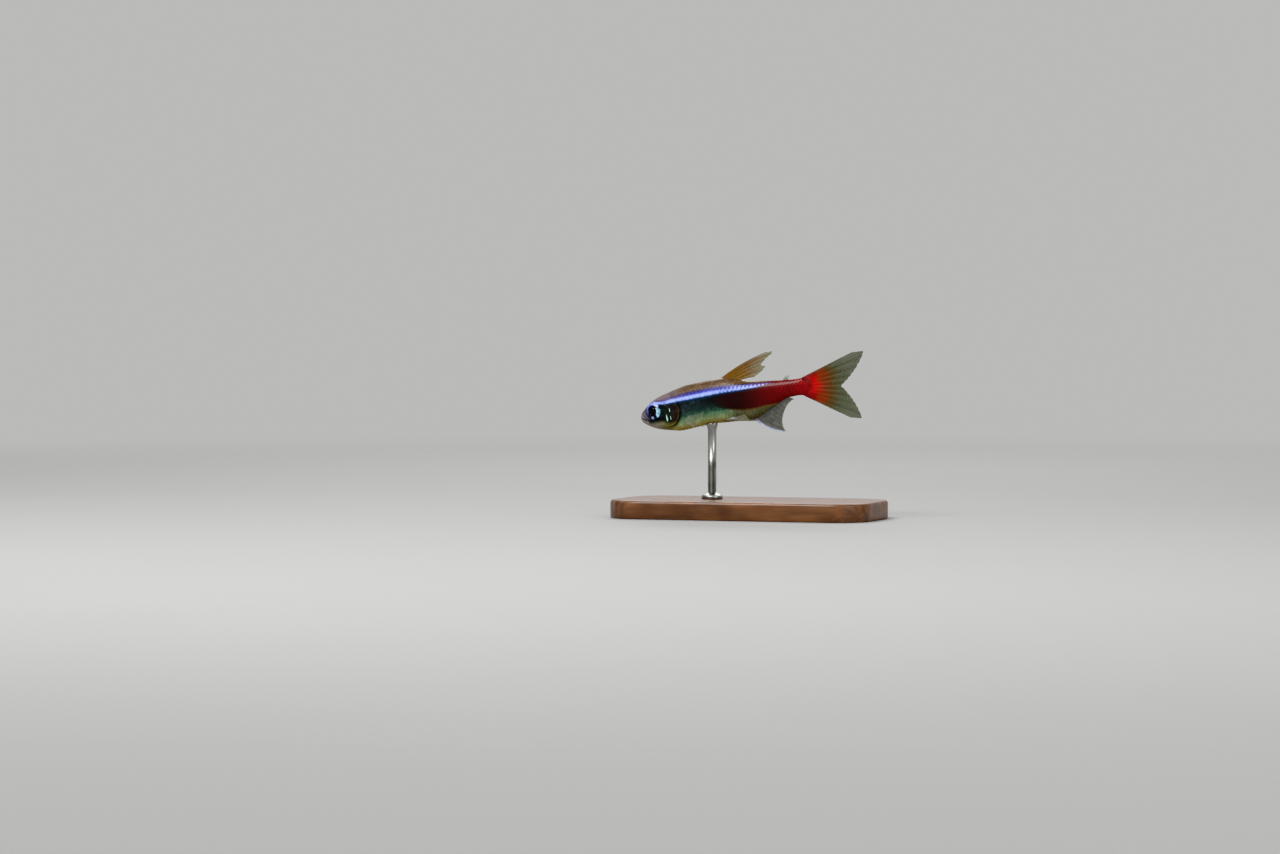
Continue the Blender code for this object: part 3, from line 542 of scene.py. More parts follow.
def markings(f, bead=None, tone=None):
    """The fish's colours, with painted glints and shade, the painted glow of its stripe, and how silvery it
    is, alike on skin and scales.
    """
    x, z, beside = fish_place(f)
    fine, blotch, ripple = f.place.grain(9.0, 4.0), f.place.grain(1.6, 3.0), f.place.grain(3.4, 2.0)
    wobble = (ripple - 0.5) * 0.22
    rough_x, rough_z = x + wobble * 3, z + wobble
    stripe_middle, half = marking_line(x, STRIPE_MIDDLE), marking_line(x, STRIPE_HALF)
    over = z - stripe_middle + wobble * 0.5
    # back
    back = fine.rise(0.30, 0.62).mix(BACK_DARK, BACK)
    back = (blotch.rise(0.5, 0.75) * fine.rise(0.45, 0.7) * 0.6).mix(back, BACK_PALE)
    back = (rough_x.rise(8.0, 5.0) * beside.rise(0.3, 1.0) * 0.8).mix(back, NAPE)
    # below the stripe: near black, then a silvery green that ends in the keel's yellow
    below = stripe_middle - half - z + wobble
    belly_line = marking_line(x, [(s[0], s[2]) for s in BODY_STATIONS[1:]])
    depth = (z - belly_line) / (stripe_middle - half - belly_line) + wobble * 0.25 + (blotch - 0.5) * 0.16
    low = depth.node("ShaderNodeValToRGB", {"Fac": depth}, stops=BELOW_STRIPE)
    pale = fine.rise(0.52, 0.78) * depth.rise(0.56, 0.34) * depth.rise(0.04, 0.16)
    low = (pale * 0.5).mix(low, BELLY_PALE)
    low = (x.rise(12.0, 15.0) * rough_z.rise(-1.2, -2.0)).mix(low, BEHIND_BELLY)
    colour = (below + half * 0.6).rise(-0.05, 0.15).mix(back, low)
    # red, dark at its front end and brightest on the tail stem
    over_edge = rough_z - marking_line(x, RED_LOW)
    under_stripe = below.rise(0.02, 0.25) * rough_x.rise(10.4, 14.0)
    past_stripe = (x + wobble * 2 - over * 1.2).rise(18.4, 20.2)
    in_red = over_edge.rise(-0.12, 0.16) * under_stripe.maths("MAXIMUM", past_stripe)
    red = x.rise(15.0, 23.6).mix(MAROON, RED)
    red = (x.rise(22.5, 25.6) * 0.3).mix(red, RED_BRIGHT)
    red = (fine.rise(0.5, 0.75) * 0.22).mix(red, MAROON)
    red_edge = over_edge.size().rise(0.24, 0.04) * x.rise(13.0, 15.0) * x.rise(21.0, 19.0)
    colour = in_red.mix(colour, red)
    colour = (red_edge * 0.5).mix(colour, RED_EDGE)
    # shoulder: a painted shadow behind the gill cover, then dusted with grey
    from_gill = distance(x - GILL_CENTRE[0], z - GILL_CENTRE[1]) - GILL_RADIUS
    dust = x.rise(6.6, 7.3) * x.rise(11.5, 8.0) * rough_z.rise(1.2, 0.4) * rough_z.rise(-1.5, -0.8)
    dust = dust * (fine + blotch).rise(0.85, 1.30)
    colour = (dust * 0.55).mix(colour, DUST)
    # painted shadow: the shoulder darkened just behind the gill cover's edge, below the stripe
    gill_shadow = from_gill.rise(0.5, 0.0) * below.rise(-0.1, 0.3)
    colour = (gill_shadow * 0.6).mix(colour, CHEEK)
    # cheek: black, with green blotches and painted glints: silvery teal streaks in a painted teal sheen, and
    # teal flecks
    cheek = (blotch.rise(0.46, 0.70) * z.rise(1.1, -0.6)).mix(CHEEK, CHEEK_GREEN)
    # painted glints: streaks of light at fixed places on the cheek, with a painted teal sheen round them
    glint = 0.0
    for middle_x, middle_z, reach in CHEEK_GLINTS:
        away = distance((x - middle_x) * GLINT_SQUEEZE, z - middle_z)
        glint = glint + (away + wobble * 1.6).rise(reach, reach * 0.25)
    glint = glint.maths("MINIMUM", 1.0)
    cheek = (x.rise(4.4, 5.8) * blotch.rise(0.15, 0.75) * 0.8).mix(cheek, CHEEK_BROWN)
    cheek = (glint * 0.9).mix(cheek, TEAL_SHEEN)
    flecks = f.place.stretched((1.6, 1.0, 1.0)).grain(11.0, 2.0)
    cheek = (glint.rise(0.15, 1.0) * (0.45 + flecks * 0.9)).mix(cheek, CHEEK_GLINT)
    # painted glints: small teal flecks over the cheek
    cheek = flecks.rise(0.80, 0.88).mix(cheek, TEAL_SHEEN)
    # face: nape over cheek, over throat and jaw, and the snout ahead of them
    nape = beside.rise(0.95, 0.15).mix(NAPE, CROWN)
    nape = rough_x.rise(2.2, 5.4).mix(nape, back)
    face = (rough_z - stripe_middle).rise(-0.45, -0.1).mix(cheek, nape)
    low_face = rough_x.rise(4.6, 2.4).mix(THROAT, JAW)
    face = (rough_z + x.rise(3.4, 5.0) * 0.45).rise(-1.05, -1.7).mix(face, low_face)
    snout = (z + x * 0.56 + 0.26).rise(-0.06, 0.06).mix(JAW, SNOUT)
    snout = ((x + z * 0.4).rise(0.9, 0.2) * 0.8).mix(snout, LIP)
    snout = (fine.rise(0.45, 0.7) * 0.35).mix(snout, BACK_DARK)
    face = x.rise(1.75, 1.15).mix(face, snout)
    colour = from_gill.rise(0.06, -0.06).maths("MAXIMUM", x.rise(5.0, 4.4)).mix(colour, face)
    # gill opening: a dark seam of painted shade, and a painted bronze highlight on its rim
    below_nape = (z - stripe_middle).rise(0.1, -0.3) * x.rise(4.4, 5.2)
    # painted highlight: a bronze line along the gill cover's rim
    rim_highlight = (from_gill + 0.17).size().rise(0.10, 0.02) * below_nape * ripple.rise(0.35, 0.65)
    rim_highlight = rim_highlight * (0.1 + z.rise(0.2, -1.0) * 0.35)
    colour = rim_highlight.mix(colour, BRONZE_HIGHLIGHT)
    # painted shade: the gap under the gill cover's edge, near black
    colour = ((from_gill - 0.03).size().rise(0.11, 0.04) * below_nape * 0.85).mix(colour, SHADE_BLACK)
    # stripe, with a violet upper edge and a blue green lower one; its pale core is its own colour brightened
    # by a painted sheen, and it glows a little as painted light
    share = over / half.maths("MAXIMUM", 0.03)
    in_stripe = share.rise(1.10, 0.80) * share.rise(-1.70, -0.85) * half.rise(0.03, 0.12) * x.rise(0.3, 1.4)
    in_stripe = in_stripe * (beside + wobble).rise(0.34, 0.60).maths("MAXIMUM", x.rise(3.2, 4.2))
    light = (share + 0.40).size().rise(0.54, 0.10) * half.rise(0.08, 0.25) * (0.45 + fine * 0.9)
    light = light * (1 - x.rise(3.0, 3.5) * x.rise(5.2, 4.4) * ripple.rise(0.35, 0.6) * 0.8)
    streak = share.rise(0.45, 0.95).mix(STRIPE_VIOLET, STRIPE_EDGE)
    streak = (x.rise(9.0, 5.0) * 0.6).mix(streak, NAPE)
    streak = share.rise(0.40, -0.25).mix(streak, STRIPE)
    streak = share.rise(-0.50, -0.85).mix(streak, STRIPE_LOW)
    streak = share.rise(-0.80, -1.10).mix(streak, STRIPE_GLOW)
    if bead:  # on the scales it breaks up, towards the tail, into a bead of light on each
        gap = x.rise(11.0, 15.0) * (1 - bead)
        light = light * (1 - gap) + x.rise(13.0, 16.0) * bead * share.size().rise(0.95, 0.35) * 0.3
        light = light * (1 - x.rise(9.0, 14.0) * ripple.rise(0.6, 0.35) * 0.55)
        streak = (gap * 0.6).mix(streak, STRIPE_EDGE)
    streak = light.mix(streak, STRIPE_LIGHT)
    streak = (x.rise(16.5, 20.0) * (1 - light)).mix(streak, STRIPE_END)
    colour = in_stripe.mix(colour, streak)
    if tone:
        colour = tone.node("ShaderNodeHueSaturation", {"Color": colour, "Value": tone})
    silver = (z.rise(0.4, -1.0) * (1 - in_red) * 0.30 + in_stripe * 0.3) * blotch.rise(0.2, 0.7)
    # painted light: the stripe's emission, strongest in its pale core
    painted_glow = in_stripe * share.rise(0.6, -0.1) * share.rise(-1.1, -0.8) * (0.2 + light * 0.8)
    return colour, streak, painted_glow, silver, fine


def skin_finish():
    f = Finish("skin", Coat_Roughness=0.14, **FLESH)
    colour, streak, painted_glow, silver, fine = markings(f)
    x, z, beside = fish_place(f)
    # painted shade: the mouth's slit and the nostrils' pits are painted near black, and don't glow
    slit = (z + 0.26 + x * 0.562).size().rise(0.09, 0.03) * x.rise(1.12, 0.9)
    pits = 0.0
    for place in NOSTRILS:
        pits = pits + distance(x - place[0], beside - place[1], z - place[2]).rise(0.11, 0.05)
    recess_shade = slit.maths("MAXIMUM", pits)
    colour = (recess_shade * 0.9).mix(colour, SHADE_BLACK)
    return f.wear(
        Base_Color=colour,
        Metallic=silver,
        Roughness=0.30 + fine * 0.15,
        Emission_Color=(painted_glow * (1 - recess_shade)).mix(BLACK, streak),
        Normal=f.relief(fine, 0.012, 0.6),
    )


skin_material = skin_finish()
piece(
    "fish_skin", to_stand(capped(skin_rings)), loft_faces(len(skin_rows), SKIN_SIDES), skin_material,
    "skin", ("head", "trunk", "tail_stem"),
)

# Orbit rims. The tight ring of bare skin that holds each eyeball, rolled inwards so that the ball rises
# out of it with no gap. It takes the skin's own finish.

RIM_OUTER, RIM_CREST, RIM_INNER = 1.47, 1.35, 1.262
RIM_SEAT = 0.13  # how far over the eyeball's widest ring the inner lip lies
RIM_SIDES = 96


def side_of_body(x, z):
    """How far out the plain body's side lies, at a distance and a height."""
    back, belly, half_width, widest, square_above, square_below = sections(x)
    above = z >= widest
    share = np.abs(z - widest) / np.where(above, back - widest, widest - belly)
    square = np.where(above, square_above, square_below)
    return half_width * np.maximum(1 - np.minimum(share, 1.0) ** square, 0.0) ** (1 / square)


def skin_over_eye(across, up):
    """Height of the skin along the eye's own axis, at places across its plane."""
    turn = math.radians(EYE_TURN_DEG)
    height = np.zeros_like(across)
    for _ in range(6):
        x = EYE_CENTRE[0] + across * math.cos(turn) - height * math.sin(turn)
        y = EYE_CENTRE[1] + across * math.sin(turn) + height * math.cos(turn)
        height = height + (side_of_body(x, up + EYE_CENTRE[2]) - y) / math.cos(turn)
    return height - COAT_DEPTH


def from_eye_frame(points, side):
    points = np.asarray(points, float) * (1, side, 1)
    frame_of_eye = np.array(eye_frame(side))
    return points @ frame_of_eye[:3, :3].T + frame_of_eye[:3, 3]


def make_orbit_rim(side, word):
    angle = 2 * math.pi * np.arange(RIM_SIDES) / RIM_SIDES
    rings = []
    for radius, own, lift in (
        (RIM_OUTER, 0.0, -0.08), (1.44, 0.0, -0.015), (1.42, 0.0, 0.01), (1.39, 0.15, 0.03),
        (RIM_CREST, 0.45, 0.045), (1.305, 0.75, 0.04), (RIM_INNER, 1.0, 0.0), (1.23, 1.0, -0.10),
        (1.26, 1.0, -0.25), (1.36, 0.5, -0.25),
    ):
        across, up = radius * np.cos(angle), radius * np.sin(angle)
        height = skin_over_eye(across, up) * (1 - own) + RIM_SEAT * own + lift
        rings.append(np.column_stack((across, height, up)))
    points = from_eye_frame(np.array(rings).reshape(-1, 3), side)
    faces = loft_faces(len(rings), RIM_SIDES, poles=False, closed=True)
    piece("orbit_rim_" + word, to_stand(points), faces, skin_material, "skin")


for side, word in ((-1, "left"), (1, "right")):
    make_orbit_rim(side, word)

# Eyes. Each is a large shallow ball: a blue black iris with silvery, violet and turquoise flakes, a round
# pupil and the lens that bulges through it. The whole is glazed. White painted highlights lie on the iris,
# and its bright parts glow as painted light.

PUPIL_RADIUS, PUPIL_SHIFT = 0.53, (0.0, 0.0, 0.08)
LENS_RADIUS, LENS_SEAT, LENS_BULGE = 0.55, 0.42, 0.21
EYE_SIDES, LENS_ROWS, BALL_ROWS = 80, 30, 40
PUPIL_BLACK, PUPIL_BROWN = (3, 3, 5), (16, 9, 8)
IRIS_DEEP, IRIS_BLUE, IRIS_TURQUOISE, IRIS_GREEN = (5, 7, 22), (20, 38, 90), (168, 226, 240), (40, 120, 124)
IRIS_VIOLET, IRIS_WHITE, EYE_RIM = (112, 124, 200), (206, 220, 255), (14, 18, 34)
GLAZE = {"Coat_Weight": 0.5, "Coat_Roughness": 0.03, "Specular_IOR_Level": 0.1}


def iris_finish():
    f = Finish("iris", Emission_Strength=0.3, **GLAZE)
    x, z = fish_place(f)[:2]
    x, z = x - EYE_CENTRE[0], z - EYE_CENTRE[2] - PUPIL_SHIFT[2] * 0.5
    reach = distance(x, z)
    flakes = f.place.stretched((1.6, 1.0, 1.0)).grain(6.0, 3.0, Distortion=0.5)
    sparks = f.place.grain(13.0, 2.0)
    ragged = (flakes - 0.5) * 0.3
    top = (z / reach + ragged).rise(0.35, 0.75) * reach.rise(0.80, 0.98)
    rear = (x - 0.72 + ragged).size().rise(0.34, 0.14) * z.rise(0.52, 0.24) * z.rise(-1.15, -0.92)
    rear = rear * reach.rise(0.56, 0.66) * reach.rise(1.22, 1.12)
    far = (x - 1.05).size().rise(0.16, 0.04) * z.rise(0.30, 0.05) * z.rise(-0.70, -0.40)
    front = (x + 0.86 + ragged).size().rise(0.24, 0.06) * z.rise(-0.50, 0.10)
    low = (x + 0.20 + ragged).size().rise(0.30, 0.12) * (z + 0.90).size().rise(0.24, 0.12)
    streaks = (z.maths("ARCTAN2", x) * 9.0 + flakes * 5.0).maths("SINE").rise(-0.6, 1.0)
    colour = (flakes.rise(0.35, 0.65) * reach.rise(0.70, 1.1)).mix(IRIS_DEEP, IRIS_BLUE)
    teal = sparks.rise(0.32, 0.52).mix(IRIS_GREEN, IRIS_TURQUOISE)
    rear_light = rear * (0.6 + streaks * 0.4) * flakes.rise(0.24, 0.44)
    colour = rear_light.mix(colour, teal)
    # painted highlights: white spots in the turquoise wedge behind the pupil
    colour = (rear_light * (x - 0.66).size().rise(0.22, 0.06) * 0.6).mix(colour, IRIS_WHITE)
    colour = (far * 0.6).mix(colour, IRIS_TURQUOISE)
    # the top: the stripe's violet running on, whiter to the rear as a painted glint
    crown = (x.rise(-0.4, 0.5) * flakes.rise(0.35, 0.6)).mix(IRIS_VIOLET, IRIS_WHITE)
    colour = (top * (0.6 + flakes * 0.8)).mix(colour, crown)
    colour = (front * (0.3 + flakes * 0.7)).mix(colour, IRIS_VIOLET)
    # a painted highlight, white, low on the iris
    colour = (low * 0.5).mix(colour, IRIS_WHITE)
    colour = reach.rise(1.12, 1.24).mix(colour, EYE_RIM)
    # the bright parts glow by emission, as painted light
    lit = rear_light.maths("MAXIMUM", top * 0.8 + low * 0.6)
    return f.wear(
        Base_Color=colour,
        Metallic=lit * 0.3,
        Roughness=0.32 - lit * 0.1,
        Emission_Color=(lit * reach.rise(1.24, 1.12)).mix(BLACK, colour),
        Normal=f.relief(flakes, 0.015, 0.5),
    )


def pupil_finish():
    f = Finish("pupil", **GLAZE)
    cloud = f.place.grain(2.0, 2.0)
    return f.wear(
        Base_Color=cloud.rise(0.4, 0.8).mix(PUPIL_BLACK, PUPIL_BROWN),
        Roughness=0.08 + cloud * 0.05,
    )


def eye_rings(profile, shift=True):
    """Rings round the eye's axis, drawn towards the pupil's middle as they get smaller."""
    rings = []
    for radius, height in profile:
        share = 1 - (radius / EYE_RADIUS) ** 2 if shift and height > 0 else float(not shift)
        rings += turned([(radius, height)], EYE_SIDES, np.array(PUPIL_SHIFT) * share, "Y")
    return rings


def make_eye(side, word, iris, pupil):
    slopes = np.radians(np.linspace(-84, 60, BALL_ROWS))
    ball = [(EYE_RADIUS * math.cos(a), EYE_DEPTH * math.sin(a)) for a in slopes]
    ball = [(r, h) for r, h in ball if h <= 0 or r > PUPIL_RADIUS + 0.1]
    lip = EYE_DEPTH * math.sqrt(1 - (PUPIL_RADIUS / EYE_RADIUS) ** 2)
    ball += [(PUPIL_RADIUS + 0.07, lip - 0.02), (PUPIL_RADIUS + 0.02, lip - 0.025)]
    ball += [(PUPIL_RADIUS, lip - 0.06), (PUPIL_RADIUS, lip - 0.2), (PUPIL_RADIUS * 0.5, lip - 0.24)]
    lens_slopes = np.radians(np.linspace(-60, 88, LENS_ROWS))
    lens = [(LENS_RADIUS * math.cos(a), LENS_SEAT + LENS_BULGE * math.sin(a)) for a in lens_slopes]
    for label, profile, finish, drawn in (("eyeball_", ball, iris, True), ("lens_", lens, pupil, False)):
        points = from_eye_frame(capped(eye_rings(profile, drawn)), side)
        faces = loft_faces(len(profile), EYE_SIDES)
        replaced = ("eye_" + word,) if finish is iris else ()
        piece(label + word, to_stand(points), faces, finish, "eye", replaced)


eye_finishes = iris_finish(), pupil_finish()
for side, word in ((-1, "left"), (1, "right")):
    make_eye(side, word, *eye_finishes)

# Scales. About 34 in a row from the gill opening to the tail, thin round plates whose front end is sunk
# in the skin and whose rear edge lies over the next. They follow the body in rows and end at its edges.

SCALE_PITCH, SCALE_PITCH_TAIL = 0.575, 0.50
ROW_SPACING, ROW_SPACING_TAIL, ROW_MARGIN = 0.60, 0.42, 0.35
SCALE_LENGTH, SCALE_WIDTH = 1.72, 1.92  # in pitches along and row spacings across
SCALE_STAND, SCALE_TONES, SCALE_SEED = 0.045, (0.84, 1.16), 7
SCALES_START, SCALES_END, SHRINK_ALONG, UNDER_GILL = 4.75, 24.75, (13.5, 24.0), 0.12
PATCH = 0.003  # size of one scale on the unwrapped skin
FORM_RINGS, FORM_SIDES, FORM_SQUARE = (0.42, 0.76, 0.94, 1.0), 16, 0.9
FORM_SUNK, FORM_BOW, FORM_EDGE, FORM_CROWN = 0.45, 0.35, 0.35, 0.32  # in shares of a scale's stand
BED_START, BED_ROWS = 4.0, 240  # the skin that the scales are draped over
CHART_LENGTH = 26.0  # of the fish, laid out along the unwrapped skin


def named_inputs(tree, kinds):
    """Gives a tree its named inputs, and returns them."""
    for label, kind in kinds.items():
        tree.interface.new_socket(label, in_out="INPUT", socket_type="NodeSocket" + kind)
    tree.interface.new_socket("Geometry", in_out="OUTPUT", socket_type="NodeSocketGeometry")
    given = tree.nodes.new("NodeGroupInput")
    return {label: Tone(tree, given.outputs[label]) for label in kinds}


def tree_ends(tree, geometry, finish):
    """Closes a tree with its geometry shaded smooth and in its finish."""
    smooth = geometry.node("GeometryNodeSetShadeSmooth", {"Geometry": geometry})
    done = geometry.node("GeometryNodeSetMaterial", {"Geometry": smooth, "Material": finish})
    tree.links.new(done.socket, tree.nodes.new("NodeGroupOutput").inputs[0])
    return tree


def kept(tree, name, kind="FLOAT_VECTOR"):
    """A named attribute of the mesh, inside a geometry tree."""
    return Tone(tree).node("GeometryNodeInputNamedAttribute", {"Name": name}, data_type=kind)


def scale_laying_tree():
    tree = bpy.data.node_groups.new("lay_scales", "GeometryNodeTree")
    given = named_inputs(tree, {
        "Geometry": "Geometry", "One scale": "Object", "Body": "Object", "Stand": "Float", "Patch": "Float",
        "Least tone": "Float", "Greatest tone": "Float", "Seed": "Int", "Finish": "Material",
    })
    f = Tone(tree)
    tone = f.node("FunctionNodeRandomValue", {
        2: given["Least tone"], 3: given["Greatest tone"], "Seed": given["Seed"],
    }, 1)
    roots = f.node("GeometryNodeStoreNamedAttribute", {
        "Geometry": given["Geometry"], "Name": "tone", "Value": tone,
    }, data_type="FLOAT", domain="POINT")
    form = f.node("GeometryNodeObjectInfo", {"Object": given["One scale"]}, "Geometry")
    lie = f.node("FunctionNodeAxesToRotation", {0: kept(tree, "outward"), 1: kept(tree, "rearward")},
                 primary_axis="Z", secondary_axis="X")
    laid = f.node("GeometryNodeInstanceOnPoints", {
        "Points": roots, "Instance": form, "Rotation": lie, "Scale": kept(tree, "span"),
    })
    scales = f.node("GeometryNodeRealizeInstances", {"Geometry": laid})
    body = f.node("GeometryNodeObjectInfo", {"Object": given["Body"]}, "Geometry")
    under = f.node("GeometryNodeProximity", {"Geometry": body}, "Position", target_element="FACES")
    out = f.node("GeometryNodeSampleNearestSurface", {"Mesh": body, "Value": kept(tree, "outward")},
                 data_type="FLOAT_VECTOR")
    local = kept(tree, "local")
    stand = f.node("ShaderNodeSeparateXYZ", {"Vector": local}, "Z") * given["Stand"]
    place = under.plus(out.times(stand))
    draped = f.node("GeometryNodeSetPosition", {"Geometry": scales, "Position": place})
    chart = kept(tree, "root_chart").plus(local.times(given["Patch"]))
    charted = f.node("GeometryNodeStoreNamedAttribute", {
        "Geometry": draped, "Name": "OFBake", "Value": chart,
    }, data_type="FLOAT2", domain="CORNER")
    return tree_ends(tree, charted, given["Finish"])


def store(mesh, **columns):
    """Keeps a number or a vector for each point of the mesh."""
    for name, values in columns.items():
        kind, field = ("FLOAT", "value") if np.ndim(values) == 1 else ("FLOAT_VECTOR", "vector")
        column = mesh.attributes.new(name, kind, "POINT")
        column.data.foreach_set(field, np.asarray(values, np.float32).ravel())


def guide(name, points, faces=(), edges=(), **stored):
    """A mesh in metres that only feeds a geometry tree."""
    mesh = bpy.data.meshes.new(name)
    mesh.from_pydata(np.asarray(points, float) * MM, list(edges), list(faces))
    store(mesh, **stored)
    return placed(name, mesh)


def grown(start, tree, name, inputs, guides=()):
    """Runs a geometry tree on a guide and keeps its result as one plain mesh; the guides go."""
    modifier = start.modifiers.new("grow", "NODES")
    modifier.node_group = tree
    for item in tree.interface.items_tree:
        if item.in_out == "INPUT" and item.name in inputs:
            modifier[item.identifier] = inputs[item.name]
    start.update_tag()
    bpy.context.view_layer.update()
    graph = bpy.context.evaluated_depsgraph_get()
    mesh = bpy.data.meshes.new_from_object(start.evaluated_get(graph))
    mesh.name = name
    made = placed(name, mesh)
    for spent in (start, *guides):
        bpy.data.objects.remove(spent)
    return made


def scale_form():
    """One scale in its own frame: X from root to rear edge, Y across, Z its stand over the skin."""
    angle = 2 * math.pi * np.arange(FORM_SIDES) / FORM_SIDES
    along, across = (0.5 * np.sign(w) * np.abs(w) ** FORM_SQUARE for w in (np.cos(angle), np.sin(angle)))
    rings = []
    for share in FORM_RINGS:
        x, y = 0.5 + share * along, share * across
        height = 1.45 * step(x, -0.1, 1.05) - FORM_SUNK - FORM_BOW * (2 * y) ** 2 * (1 - 0.5 * x)
        rings.append(np.column_stack((x, y, height)))
    rings.append(rings[-1] - np.array((0.0, 0.0, FORM_EDGE)))
    rings.append(rings[0] - np.array((0.0, 0.0, FORM_SUNK)))
    points = capped(rings)
    points[len(rings) * FORM_SIDES, 2] = FORM_CROWN
    made = guide("scale_form", points / MM, loft_faces(len(rings), FORM_SIDES), local=points)
    made.data.flip_normals()
    made.data.transform(Matrix.Diagonal((1.0, 1.0, 0.01, 1.0)))
    return made


def scale_roots():
    """Where each scale is rooted, and its outward and rearward ways, its size and its place on the chart."""
    roots, outwards, rearwards, sizes, charts = [], [], [], [], []
    turns = np.linspace(-math.pi / 2, math.pi / 2, 241)
    x, column = SCALES_START, 0
    while x < SCALES_END:
        to_tail = step(x, *SHRINK_ALONG)
        pitch = SCALE_PITCH + (SCALE_PITCH_TAIL - SCALE_PITCH) * to_tail
        spacing = ROW_SPACING + (ROW_SPACING_TAIL - ROW_SPACING) * to_tail
        section = body_surface(x, turns)
        lengths = np.concatenate(([0.0], np.cumsum(np.linalg.norm(np.diff(section[:, 1:], axis=0), axis=1))))
        lengths -= np.interp(0.0, turns, lengths)
        odd = column % 2
        reaches = [(row + odd / 2) * 2 * spacing for row in range(-8, 9)]
        margin = ROW_MARGIN * spacing
        reaches = [r for r in reaches if lengths[0] + margin < r < lengths[-1] - margin]
        places = [(float(np.interp(r, lengths, turns)), side) for r in reaches for side in (-1, 1)]
        if not odd:
            places += [(math.pi / 2, 1), (-math.pi / 2, 1)]
        for turn, side in places:
            around = turn if side > 0 else math.pi - turn
            near = np.array([body_surface(x + dx, around + dt) for dx, dt in ((0, 0), (0.02, 0), (0, 0.01))])
            from_gill = math.hypot(x - GILL_CENTRE[0], near[0, 2] - GILL_CENTRE[1])
            if from_gill < GILL_RADIUS - UNDER_GILL:
                continue
            near = to_stand(tail_root(near))
            rearward, across = near[1] - near[0], near[2] - near[0]
            normal = np.cross(across, rearward)
            length = min(SCALE_LENGTH * pitch, SKIN_END - x)
            roots.append(near[0])
            outwards.append(normal / np.linalg.norm(normal))
            rearwards.append(rearward / np.linalg.norm(rearward))
            sizes.append((length * MM, SCALE_WIDTH * spacing * MM, length * MM))
            charts.append((x / CHART_LENGTH, (around + math.pi / 2) / (2 * math.pi), 0.0))
        x += pitch / 2
        column += 1
    return roots, {"outward": outwards, "rearward": rearwards, "span": sizes, "root_chart": charts}


def scale_finish():
    f = Finish("scale", Coat_Roughness=0.16, **FLESH)
    local = f.node("ShaderNodeAttribute", output="Vector", attribute_name="local")
    tone = f.node("ShaderNodeAttribute", output="Fac", attribute_name="tone")
    along, across = (f.node("ShaderNodeSeparateXYZ", {"Vector": local}, output=axis) for axis in (0, 1))
    bead = ((along - 0.78) * (along - 0.78) * 16.0 + across * across * 3.4).rise(0.62, 0.06)
    colour, streak, painted_glow, silver, fine = markings(f, bead, tone)
    # each scale is darker along its rear rim, and its front, where the scale ahead lies over it, gets
    # painted shade
    edge = ((along - 0.5) * (along - 0.5) + across * across).rise(0.205, 0.25) * along.rise(0.45, 0.7)
    overlap_shade = along.rise(0.78, 0.55)
    colour = (edge * 0.22 + overlap_shade * 0.10).mix(colour, BLACK)
    circuli = (distance(along - 0.35, across) * 150.0).maths("SINE") * 0.5 + 0.5
    return f.wear(
        Base_Color=colour,
        Metallic=silver,
        Roughness=0.26 + fine * 0.15,
        Emission_Color=(painted_glow * (1 - edge)).mix(BLACK, streak),
        Normal=f.relief(circuli + fine, 0.006, 0.5),
    )


roots, ways = scale_roots()
bed = tail_root(body_surface(np.linspace(BED_START, SKIN_END, BED_ROWS)[:, None], skin_turns[None, ::2]))
bed_normals = outward(bed)
bed_placed = to_stand(bed - bed_normals * COAT_DEPTH)
body_guide = guide(
    "body_guide", bed_placed.reshape(-1, 3), loft_faces(BED_ROWS, SKIN_SIDES // 2, poles=False),
    outward=(bed_normals @ PITCH_TURN.T).reshape(-1, 3),
)
scale_guide = scale_form()
root_guide = guide("scale_roots", roots, **ways)
scales = grown(root_guide, scale_laying_tree(), "scales", {
    "One scale": scale_guide, "Body": body_guide, "Stand": SCALE_STAND * MM, "Patch": PATCH,
    "Least tone": SCALE_TONES[0], "Greatest tone": SCALE_TONES[1], "Seed": SCALE_SEED,
    "Finish": scale_finish(),
}, (scale_guide, body_guide))
dressed(scales, "skin")

# Dorsal fin. A thin amber web on eleven jointed rays, laid well back, with a notch between its long upper
# point and the lower one. The rays fork towards the edge, which frays between them.

DORSAL_BASE = (13.45, 16.0)
DORSAL_RAY_LINES = (  # length and slope of each ray: seven to the upper point, four to the lower one
    (7.15, 20.6), (7.75, 18.9), (7.35, 18.2), (6.35, 17.9), (5.55, 17.7), (4.85, 17.4), (4.35, 17.0),
    (4.60, 13.6), (3.75, 10.4), (2.75, 7.4), (1.85, 4.4),
)
DORSAL_BOW, DORSAL_SUNK = 0.04, 1.44
WEB_STEPS, WEB_ROWS = 6, 46  # points of web from ray to ray, and from root to edge
WEB_THICKNESS, WEB_EDGE, SIDE_THIN, FLESHY_ROOT, FLESHY_REACH = 0.13, 0.035, 0.35, 0.42, 0.13
RAY_GIRTH, RAY_TIP, RAY_SIDES, STOUTNESS, BRANCH_THIN = 0.062, 0.016, 6, 1.7, 0.78
JOINT_LENGTH, JOINT_STEPS, JOINT_GROOVE, BRANCH_POINTS = 0.26, 5, 0.22, 14
FORKS = (0.42, 0.70)  # where along a ray it forks, and forks again
FORK_SPREAD, FORK_DRIFT, TWIG_SPREAD = 0.2, 1.15, 0.1  # in spaces between rays
DORSAL_AMBER, DORSAL_OLIVE = (120, 76, 16), (100, 76, 22)
DORSAL_TIP, DORSAL_LOW = (112, 104, 60), (128, 94, 36)
RAY_AMBER, RAY_PALE = (150, 112, 50), (136, 130, 94)


